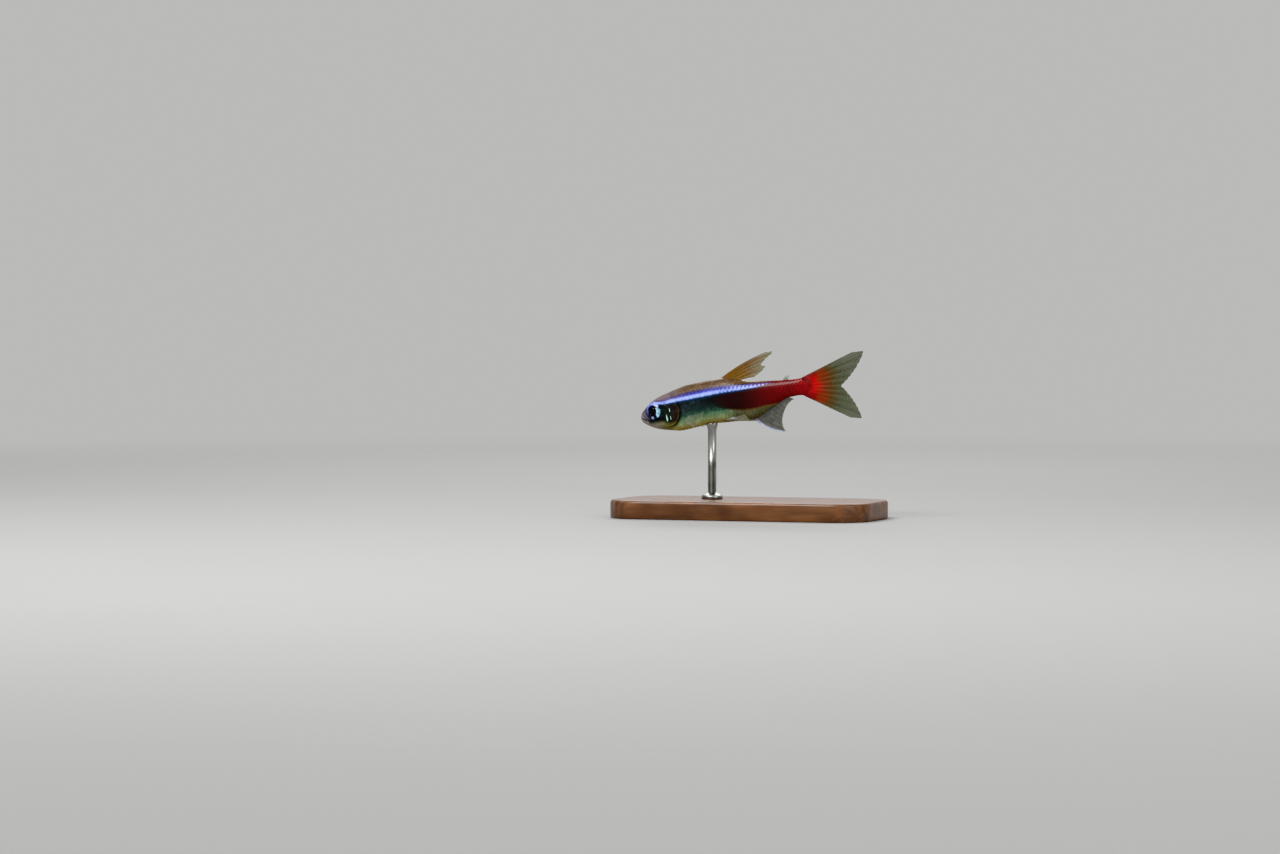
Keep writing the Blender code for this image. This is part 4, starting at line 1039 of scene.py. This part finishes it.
class Fin:
    """A fin as a fan of rays. A place in it is a ray's number, whole or between two, and a share of it."""

    def __init__(self, rays, normal=(0.0, 1.0, 0.0), notch=0.05, plain=()):
        self.roots, self.tips, self.bows = (np.array(part, float) for part in zip(*rays, strict=True))
        self.normal = np.array(normal, float) / np.linalg.norm(normal)
        self.notch, self.count = notch, len(rays)
        self.plain = {k % self.count for k in plain}  # rays that don't fork

    def at(self, order, share):
        """Points at these ray numbers and shares, both arrays of one shape, smooth from ray to ray."""
        low = np.minimum(np.floor(order).astype(int), self.count - 2)
        t = (order - low)[..., None]
        weights = (
            (-1, (2 * t**2 - t**3 - t) / 2), (0, (3 * t**3 - 5 * t**2 + 2) / 2),
            (1, (4 * t**2 - 3 * t**3 + t) / 2), (2, (t**3 - t**2) / 2),
        )
        found = 0.0
        for beside, weight in weights:
            k = np.clip(low + beside, 0, self.count - 1)
            line = self.tips[k] - self.roots[k]
            sag = np.cross(self.normal, line) * (self.bows[k] * 4 * share * (1 - share))[..., None]
            found = found + weight * (self.roots[k] + line * share[..., None] + sag)
        return found


def web(name, fin, finish, slot, replaced, thickness=WEB_THICKNESS, fleshy=FLESHY_ROOT):
    """The fin's membrane, a closed sheet: thick at its root, thin and frayed between rays at its edge."""
    order = np.linspace(0, fin.count - 1, (fin.count - 1) * WEB_STEPS + 1)
    share = np.linspace(0, 1, WEB_ROWS) ** 0.9
    grid_order, grid_share = np.meshgrid(order, share, indexing="ij")
    from_ray = np.abs(grid_order - np.round(grid_order)) * 2
    cut = 1 - fin.notch * from_ray**1.5 * step(grid_share, 0.6, 1.0)
    middle = fin.at(grid_order, grid_share * cut)
    half = (thickness + (WEB_EDGE - thickness) * grid_share + fleshy * bump(grid_share, FLESHY_REACH)) / 2
    if fin.notch:
        half = half * (1.15 - 0.3 * from_ray)
    from_side = np.minimum(grid_order, fin.count - 1 - grid_order)
    half = half * np.minimum(step(from_side, -0.01, 0.2) + SIDE_THIN, 1)
    ripple = 0.03 * bool(fin.notch) * np.sin(grid_order * math.pi) * step(grid_share, 0.1, 0.6)
    offset = fin.normal * half[..., None]
    middle = middle + fin.normal * ripple[..., None]
    points = np.vstack(((middle + offset).reshape(-1, 3), (middle - offset).reshape(-1, 3)))
    columns, rows, far = len(order), WEB_ROWS, len(order) * WEB_ROWS
    faces = []
    for c in range(columns - 1):
        for r in range(rows - 1):
            a, b = c * rows + r, (c + 1) * rows + r
            faces += [(a, b, b + 1, a + 1), (a + 1 + far, b + 1 + far, b + far, a + far)]
    rim = [c * rows for c in range(columns)] + [(columns - 1) * rows + r for r in range(1, rows)]
    rim += [c * rows + rows - 1 for c in range(columns - 2, -1, -1)] + list(range(rows - 2, 0, -1))
    faces += [(a, a + far, b + far, b) for a, b in zip(rim, rim[1:] + rim[:1], strict=True)]
    made = piece(name, to_stand(points), faces, finish, slot, replaced)
    across = grid_order.ravel() / (fin.count - 1)
    store(made.data, share=np.tile(grid_share.ravel(), 2), order=np.tile(across, 2))


def jointed_ray_tree():
    tree = bpy.data.node_groups.new("joint_rays", "GeometryNodeTree")
    given = named_inputs(tree, {
        "Geometry": "Geometry", "Joint length": "Float", "Steps in a joint": "Int", "Groove": "Float",
        "Sides": "Int", "Finish": "Material",
    })
    f = Tone(tree)
    lines = f.node("GeometryNodeMeshToCurve", {"Mesh": given["Geometry"]})
    spacing = given["Joint length"] / given["Steps in a joint"]
    lines = f.node("GeometryNodeResampleCurve", {"Curve": lines, "Length": spacing}, mode="LENGTH")
    index = f.node("GeometryNodeSplineParameter", output="Index")
    seam = index.maths("FLOORED_MODULO", given["Steps in a joint"]).maths("COMPARE", 0.0, 0.1)
    girth = kept(tree, "girth", "FLOAT") * (1 - seam * given["Groove"])
    ring = f.node("GeometryNodeCurvePrimitiveCircle", {"Resolution": given["Sides"], "Radius": 1.0})
    rods = f.node("GeometryNodeCurveToMesh", {
        "Curve": lines, "Profile Curve": ring, "Scale": girth, "Fill Caps": True,
    })
    return tree_ends(tree, rods, given["Finish"])


ray_tree = jointed_ray_tree()


def rays(name, fin, finish, slot, girth=RAY_GIRTH, stout=()):
    """The fin's rays, each forked once or twice, as jointed rods that taper to the edge."""
    points, edges, girths, shares, orders = [], [], [], [], []
    for k in range(fin.count):
        thick = girth * (STOUTNESS if k in stout or k - fin.count in stout else 1.0)
        first, second = (1.0, 1.0) if k in fin.plain else FORKS
        branches = [(0.0, first, 0.0, 0.0)]
        if k not in fin.plain:
            for spread in (-FORK_SPREAD if k > 0 else 0.0, FORK_SPREAD if k < fin.count - 1 else 0.0):
                branches.append((first, second, 0.0, spread))
                ends = (spread * FORK_DRIFT - TWIG_SPREAD, spread * FORK_DRIFT + TWIG_SPREAD)
                branches += [(second, 1.0, spread, end) for end in ends if 0 <= k + end <= fin.count - 1]
        for start, end, from_side, to_side in branches:
            share = np.linspace(start, end, BRANCH_POINTS)
            order = k + from_side + (to_side - from_side) * step((share - start) / (end - start), -0.15, 1.0)
            order = np.clip(order, 0, fin.count - 1)
            gap = np.abs(order - k) * 2
            share = share * (1 - fin.notch * gap**1.5 * step(share, 0.6, 1.0))
            level = RAY_TIP + (thick - RAY_TIP) * (1 - share) ** 0.8
            edges.extend((len(points) + n, len(points) + n + 1) for n in range(BRANCH_POINTS - 1))
            points.extend(to_stand(fin.at(order, share)))
            girths.extend(level * (BRANCH_THIN if start > 0 else 1.0))
            shares.extend(share)
            orders.extend(order / (fin.count - 1))
    lines = guide("ray_lines", points, edges=edges, girth=np.array(girths) * MM, share=shares, order=orders)
    made = grown(lines, ray_tree, name, {
        "Joint length": JOINT_LENGTH * MM, "Steps in a joint": JOINT_STEPS, "Groove": JOINT_GROOVE,
        "Sides": RAY_SIDES, "Finish": finish,
    })
    dressed(made, slot)


def heading(angle_deg):
    return np.array((math.cos(math.radians(angle_deg)), 0.0, math.sin(math.radians(angle_deg))))


def along_edge(count, base, column):
    """Share and foot of each ray of a fin on the back, column 0, or under the belly, column 1."""
    for share in np.arange(count) / (count - 1):
        x = base[0] + share * (base[1] - base[0])
        yield share, np.array((x, 0.0, float(through(BODY_STATIONS, x)[column])))


def dorsal_fin():
    lines = []
    feet = along_edge(len(DORSAL_RAY_LINES), DORSAL_BASE, 0)
    for (length, slope), (_, foot) in zip(DORSAL_RAY_LINES, feet, strict=True):
        way = heading(slope)
        lines.append((foot - way * DORSAL_SUNK, foot + way * length, -DORSAL_BOW))
    return Fin(lines, notch=0.025, plain=(0, 1))


def fin_tones(f):
    """The share of a ray's length, the ray's number from 0 to 1, and grains at two sizes."""
    share = f.node("ShaderNodeAttribute", output="Fac", attribute_name="share")
    order = f.node("ShaderNodeAttribute", output="Fac", attribute_name="order")
    return share, order, f.place.grain(5.0, 3.0), f.place.grain(1.3, 2.0)


def dorsal_finish(name, is_ray):
    f = Finish(name, Specular_IOR_Level=0.3, Coat_Weight=0.1, Coat_Roughness=0.2)
    share, order, fine, cloud = fin_tones(f)
    colour = order.rise(0.1, 0.9).mix(DORSAL_AMBER, DORSAL_LOW)
    colour = (cloud.rise(0.4, 0.65) * 0.6).mix(colour, DORSAL_OLIVE)
    colour = share.rise(0.68, 0.98).mix(colour, DORSAL_TIP)
    if is_ray:
        colour = (share.rise(0.1, 0.9) * 0.55 + 0.3).mix(RAY_AMBER, RAY_PALE)
    dense, fade = (0.95, 0.15) if is_ray else (0.90, 0.42)
    alpha = dense - share.rise(0.25, 1.0) * fade - fine * 0.08
    return f.wear(
        Base_Color=(fine.rise(0.55, 0.72) * 0.35).mix(colour, BACK_DARK),
        Roughness=0.35 + fine * 0.2, Alpha=alpha, Normal=f.relief(fine, 0.01, 0.4),
    )


dorsal = dorsal_fin()
web("dorsal_web", dorsal, dorsal_finish("dorsal_web", False), "dorsal_web", ("dorsal_fin",))
rays("dorsal_rays", dorsal, dorsal_finish("dorsal_ray", True), "dorsal_web")

# Adipose fin. A small fleshy lobe without rays on the tail stem, greyish white and only a little clear.

ADIPOSE_BASE, ADIPOSE_HEIGHT, ADIPOSE_SUNK, ADIPOSE_LINES = (21.9, 22.55), 1.0, 0.54, 7
ADIPOSE_LEAN_DEG, ADIPOSE_FAN_DEG = 60.0, 22.0
ADIPOSE_FLESH, ADIPOSE_RIM = (120, 126, 120), (180, 188, 180)


def adipose_fin():
    lines = []
    for share, foot in along_edge(ADIPOSE_LINES, ADIPOSE_BASE, 0):
        way = heading(ADIPOSE_LEAN_DEG - ADIPOSE_FAN_DEG * share)
        height = ADIPOSE_HEIGHT * (0.45 + 0.55 * math.sin(math.pi * share**0.7))
        lines.append((foot - way * ADIPOSE_SUNK, foot + way * height, 0.0))
    return Fin(lines, notch=0.0)


def adipose_finish():
    f = Finish("adipose", Coat_Weight=0.3, Coat_Roughness=0.2)
    share, _, fine, cloud = fin_tones(f)
    return f.wear(
        Base_Color=(share.rise(0.4, 1.0) * 0.8).mix(ADIPOSE_FLESH, ADIPOSE_RIM),
        Roughness=0.4 + fine * 0.15, Alpha=0.96 - share * 0.08, Normal=f.relief(cloud, 0.02, 0.5),
    )


web(
    "adipose_lobe", adipose_fin(), adipose_finish(), "pale_web", ("adipose_fin",),
    thickness=0.3, fleshy=0.25,
)

# Tail fin. Nineteen rays fan out of the end of the tail stem into two lobes. The stem's red runs on over
# its root, then turns orange and clears to a grey green film. The outer rays don't fork.

CAUDAL_RAYS, CAUDAL_FOCUS = 19, (22.9, 0.35)
CAUDAL_AXIS_DEG, CAUDAL_HALF_SPREAD_DEG = -8.5, 28.2
CAUDAL_ROOT_X, CAUDAL_ROOT_Z = 24.6, (-1.14, 1.28)
CAUDAL_FORK, UPPER_LOBE, LOWER_LOBE = 7.1, 11.3, 10.9
LOBE_TIP_AT, LOBE_POWER, OUTER_RAY_SHARE = 0.87, 1.15, 0.87
RED_CORE_HEIGHT = 0.1
TAIL_ORANGE, TAIL_RUST, TAIL_GREY, TAIL_RIM = (126, 38, 6), (92, 52, 16), (76, 82, 56), (100, 106, 84)


def caudal_fin():
    lines = []
    focus = np.array((CAUDAL_FOCUS[0], 0.0, CAUDAL_FOCUS[1]))
    low, high = CAUDAL_ROOT_Z
    for k in range(CAUDAL_RAYS):
        share = 1 - 2 * k / (CAUDAL_RAYS - 1)
        reach = UPPER_LOBE if share > 0 else LOWER_LOBE
        length = CAUDAL_FORK + (reach - CAUDAL_FORK) * min(abs(share) / LOBE_TIP_AT, 1.0) ** LOBE_POWER
        past_tip = max(abs(share) - LOBE_TIP_AT, 0.0) / (1 - LOBE_TIP_AT)
        length *= 1 - (1 - OUTER_RAY_SHARE) * past_tip**1.5
        root = np.array((CAUDAL_ROOT_X, 0.0, (low + high) / 2 + share * (high - low) / 2))
        lines.append((root, focus + heading(CAUDAL_AXIS_DEG + share * CAUDAL_HALF_SPREAD_DEG) * length, 0.0))
    return Fin(lines, notch=0.014, plain=(0, 1, -1, -2))


def tail_finish(name, is_ray):
    f = Finish(name, Specular_IOR_Level=0.25, Coat_Weight=0.08, Coat_Roughness=0.2)
    share, order, fine, cloud = fin_tones(f)
    x, z = fish_place(f)[:2]
    up = z - RED_CORE_HEIGHT
    away = distance(x - CAUDAL_FOCUS[0], up) + (cloud - 0.5) * 1.8
    colour = (away.rise(2.5, 3.4) * up.size().rise(1.7, 0.6)).mix(RED, RED_BRIGHT)
    colour = away.rise(3.3, 4.5).mix(colour, TAIL_ORANGE)
    colour = away.rise(4.2, 5.8).mix(colour, TAIL_RUST)
    colour = away.rise(5.0, 7.2).mix(colour, TAIL_GREY)
    rim = order.rise(0.035, 0.0).maths("MAXIMUM", order.rise(0.965, 1.0))
    colour = (rim * share.rise(0.1, 0.3) * 0.7).mix(colour, TAIL_RIM)
    if is_ray:
        colour = (away.rise(4.2, 6.5) * 0.22).mix(colour, RAY_PALE)
    dense, fade = (0.97, 0.22) if is_ray else (0.96, 0.36)
    alpha = dense - away.rise(4.0, 9.0) * fade
    return f.wear(
        Base_Color=(fine.rise(0.52, 0.72) * 0.3).mix(colour, BACK_DARK),
        Roughness=0.34 + fine * 0.2, Alpha=alpha, Normal=f.relief(fine, 0.01, 0.4),
    )


caudal = caudal_fin()
web("tail_web", caudal, tail_finish("tail_web", False), "tail_web", ("caudal_fin",), fleshy=0.34)
rays("tail_rays", caudal, tail_finish("tail_ray", True), "tail_web", stout=(0, -1))

# Anal fin. A long low fin of twenty rays under the tail stem, smoky and clear, led by stout rays of a
# bright bluish white.

ANAL_RAYS, ANAL_BASE, ANAL_SUNK = 20, (17.2, 22.4), 0.9
ANAL_LONGEST, ANAL_SHORTEST, ANAL_FALL = 4.95, 0.75, 1.9
ANAL_SWEEP_DEG, ANAL_FAN_DEG, ANAL_BOW = -32.5, -14.0, 0.105
EDGE_WHITE, EDGE_BLUE = (188, 192, 206), (136, 146, 176)
FIN_SMOKE, FIN_OLIVE, FIN_FILM = (56, 56, 52), (66, 52, 36), (80, 82, 70)


def anal_fin():
    lines = []
    for share, foot in along_edge(ANAL_RAYS, ANAL_BASE, 1):
        length = ANAL_SHORTEST + (ANAL_LONGEST - ANAL_SHORTEST) * (1 - share) ** ANAL_FALL
        way = heading(ANAL_SWEEP_DEG + ANAL_FAN_DEG * math.sin(math.pi * share))
        lines.append((foot - way * ANAL_SUNK, foot + way * length, ANAL_BOW * (1 - share) ** 2))
    return Fin(lines, notch=0.04, plain=(0, 1))


def pale_fin_finish(name, is_ray, white_edge, film=FIN_FILM, clear=0.34, spot=0.0):
    f = Finish(name, Specular_IOR_Level=0.25, Coat_Weight=0.08, Coat_Roughness=0.2)
    share, order, fine, cloud = fin_tones(f)
    smoke, olive = (1.0, 1.0) if film == FIN_FILM else (0.2, 0.3)
    colour = (cloud.rise(0.65, 0.35) * smoke).mix(film, FIN_SMOKE)
    colour = (share.rise(0.32, 0.12) * olive).mix(colour, FIN_OLIVE)
    if is_ray:
        colour = (share.rise(0.0, 0.8) * 0.22 + 0.06).mix(colour, RAY_PALE)
    edge = order.rise(white_edge, white_edge * 0.4) * share.rise(0.10, 0.22) if white_edge else share * 0.0
    if spot:
        at_root = order.rise(spot * 2.0, spot) * share.rise(0.66, 0.46) * fine.rise(0.3, 0.5)
        edge = edge.maths("MAXIMUM", at_root)
    white = fine.rise(0.35, 0.6).mix(EDGE_BLUE, EDGE_WHITE)
    colour = edge.mix(colour, white)
    dense, fade = (1 - clear * 0.35, 0.12) if is_ray else (1 - clear, 0.16)
    alpha = dense - share.rise(0.15, 1.0) * fade
    return f.wear(
        Base_Color=colour, Roughness=0.34 + fine * 0.2, Normal=f.relief(fine, 0.01, 0.4),
        Alpha=alpha.maths("MAXIMUM", edge * 0.95),
    )


anal = anal_fin()
web("anal_web", anal, pale_fin_finish("anal_web", False, 0.085), "pale_web", ("anal_fin",))
rays("anal_rays", anal, pale_fin_finish("anal_ray", True, 0.085), "pale_web", 0.04, stout=(0, 1))

# Pelvic fins. A pair of small fans of eight rays under the belly, folded back, with a white spot at the
# root of each.

PELVIC = {"count": 8, "root": (12.9, 0.52, -2.55), "base": 0.55, "lengths": (2.9, 4.5)}
PELVIC_TURNS = {"flare_deg": 14.0, "drop_deg": 4.0, "fan_deg": 18.0, "roll_deg": 50.0}
PELVIC_FILM = (124, 124, 104)
PAIRED_BOW, PAIRED_SUNK = 0.02, 0.9


def paired_fin(side, count, root, base, lengths, flare_deg, drop_deg, fan_deg, roll_deg):
    """A fin at the fish's side: flared away from the body, turned down, and rolled out of the upright."""
    flare, drop, fan, roll = (math.radians(turn) for turn in (flare_deg, drop_deg, fan_deg, roll_deg))
    middle = np.array((math.cos(flare) * math.cos(drop), side * math.sin(flare), -math.sin(drop)))
    down = np.array((0.0, side * math.sin(roll), -math.cos(roll)))
    normal = np.cross(middle, down)
    normal /= np.linalg.norm(normal)
    down = np.cross(normal, middle)
    lines = []
    for k in range(count):
        share = k / (count - 1)
        angle = fan * (share - 0.5)
        way = middle * math.cos(angle) + down * math.sin(angle)
        start = np.array((root[0], side * root[1], root[2])) + down * base * (share - 0.5)
        length = lengths[0] + (lengths[1] - lengths[0]) * share**1.2
        lines.append((start - way * PAIRED_SUNK, start + way * length, PAIRED_BOW * side))
    return Fin(lines, normal, notch=0.03, plain=(0,))


def pair_of_fins(label, shape, finishes, slot, girth, **sheet):
    """The left and the right fin, each a web on its rays."""
    for side, word in ((-1, "left"), (1, "right")):
        fin = paired_fin(side, **shape)
        web(f"{label}_web_{word}", fin, finishes[0], slot, (f"{label}_fin_{word}",), **sheet)
        rays(f"{label}_rays_{word}", fin, finishes[1], slot, girth)


pelvic_finishes = [
    pale_fin_finish(name, is_ray, 0.05, PELVIC_FILM, spot=0.45)
    for name, is_ray in (("pelvic_web", False), ("pelvic_ray", True))
]
pair_of_fins("pelvic", PELVIC | PELVIC_TURNS, pelvic_finishes, "pale_web", 0.045)

# Pectoral fins. A pair of glass clear fans of eleven fine rays, low behind the gill covers, half spread.

PECTORAL = {"count": 11, "root": (6.95, 1.15, -1.75), "base": 0.7, "lengths": (4.1, 2.2)}
PECTORAL_TURNS = {"flare_deg": 27.0, "drop_deg": 10.0, "fan_deg": 30.0, "roll_deg": 8.0}
CLEAR_FILM = (172, 180, 164)

pectoral_finishes = [
    pale_fin_finish(name, is_ray, 0.0, CLEAR_FILM, clear)
    for name, is_ray, clear in (("pectoral_web", False, 0.88), ("pectoral_ray", True, 1.7))
]
pair_of_fins(
    "pectoral", PECTORAL | PECTORAL_TURNS, pectoral_finishes, "clear_web", 0.035,
    thickness=0.09, fleshy=0.3,
)

# Floor, light and camera. A plain pale floor that fades into the backdrop, a soft studio light from above,
# two weaker ones from the tail's side and from behind, and a camera that looks from a little behind.

FLOOR_RADIUS, FLOOR_FADE, ROOM_STRENGTH = 0.42, 0.12, 0.74
LIGHTS_AIM = (0.0, 0.0, 0.014)
PALE, FLOOR_PALE, FLOOR_DIM = (0.72, 0.72, 0.71, 1.0), (0.37, 0.37, 0.365, 1.0), (0.355, 0.355, 0.35, 1.0)
CAMERA_AZIMUTH_DEG, CAMERA_ELEVATION_DEG = 20.0, 1.5
FRAME_WIDTH, LENS, SENSOR = 0.1825, 100.0, 36.0
AIM_BESIDE_SNOUT = (-0.00014, -0.00143)  # right and up from the snout's tip

floor_mesh = bpy.data.meshes.new("floor")
floor_shape = bmesh.new()
bmesh.ops.create_circle(floor_shape, cap_ends=True, segments=128, radius=FLOOR_RADIUS)
floor_shape.to_mesh(floor_mesh)
floor_shape.free()
floor = placed("floor", floor_mesh)
f = Finish("floor", Roughness=0.85)
far = f.node("ShaderNodeVectorMath", {0: f.place}, output="Value", operation="LENGTH") * MM
floor_mesh.materials.append(f.wear(
    Base_Color=f.place.grain(0.02, 3.0).mix(FLOOR_DIM, FLOOR_PALE),
    Alpha=far.rise(FLOOR_RADIUS, FLOOR_FADE),
))

world = bpy.data.worlds.new("studio")
world.use_nodes = True
world.node_tree.nodes["Background"].inputs["Color"].default_value = PALE
world.node_tree.nodes["Background"].inputs["Strength"].default_value = ROOM_STRENGTH
bpy.context.scene.world = world


def aimed(made, aim, azimuth_deg, elevation_deg, away):
    """Sets a light or camera this far from what it points at, in this direction from it."""
    a, e = math.radians(azimuth_deg), math.radians(elevation_deg)
    way = Vector((math.sin(a) * math.cos(e), -math.cos(a) * math.cos(e), math.sin(e)))
    made.location = Vector(aim) + way * away
    made.rotation_euler = way.to_track_quat("Z", "Y").to_euler()


def soft_light(name, azimuth_deg, elevation_deg, away, size, watts):
    lamp = bpy.data.lights.new(name, "AREA")
    lamp.shape = "RECTANGLE"
    lamp.size, lamp.size_y = size
    lamp.energy = watts
    aimed(placed(name, lamp), LIGHTS_AIM, azimuth_deg, elevation_deg, away)


soft_light("key", -18, 48, 0.35, (0.22, 0.16), 1.2)
soft_light("fill", 62, 18, 0.40, (0.20, 0.20), 0.4)
soft_light("back", 196, 38, 0.38, (0.24, 0.14), 0.6)

snout = Vector(to_stand([(0.0, 0.0, -0.1)])[0]) * MM
azimuth = math.radians(CAMERA_AZIMUTH_DEG)
right = Vector((math.cos(azimuth), math.sin(azimuth), 0.0))
aim = snout + right * AIM_BESIDE_SNOUT[0] + Vector((0.0, 0.0, AIM_BESIDE_SNOUT[1]))
lens = bpy.data.cameras.new("camera")
lens.lens, lens.sensor_width, lens.clip_start = LENS, SENSOR, 0.01
camera = placed("camera", lens)
aimed(camera, aim, CAMERA_AZIMUTH_DEG, CAMERA_ELEVATION_DEG, FRAME_WIDTH * LENS / SENSOR)
bpy.context.scene.camera = camera
bpy.context.scene.view_settings.view_transform = "Khronos PBR Neutral"
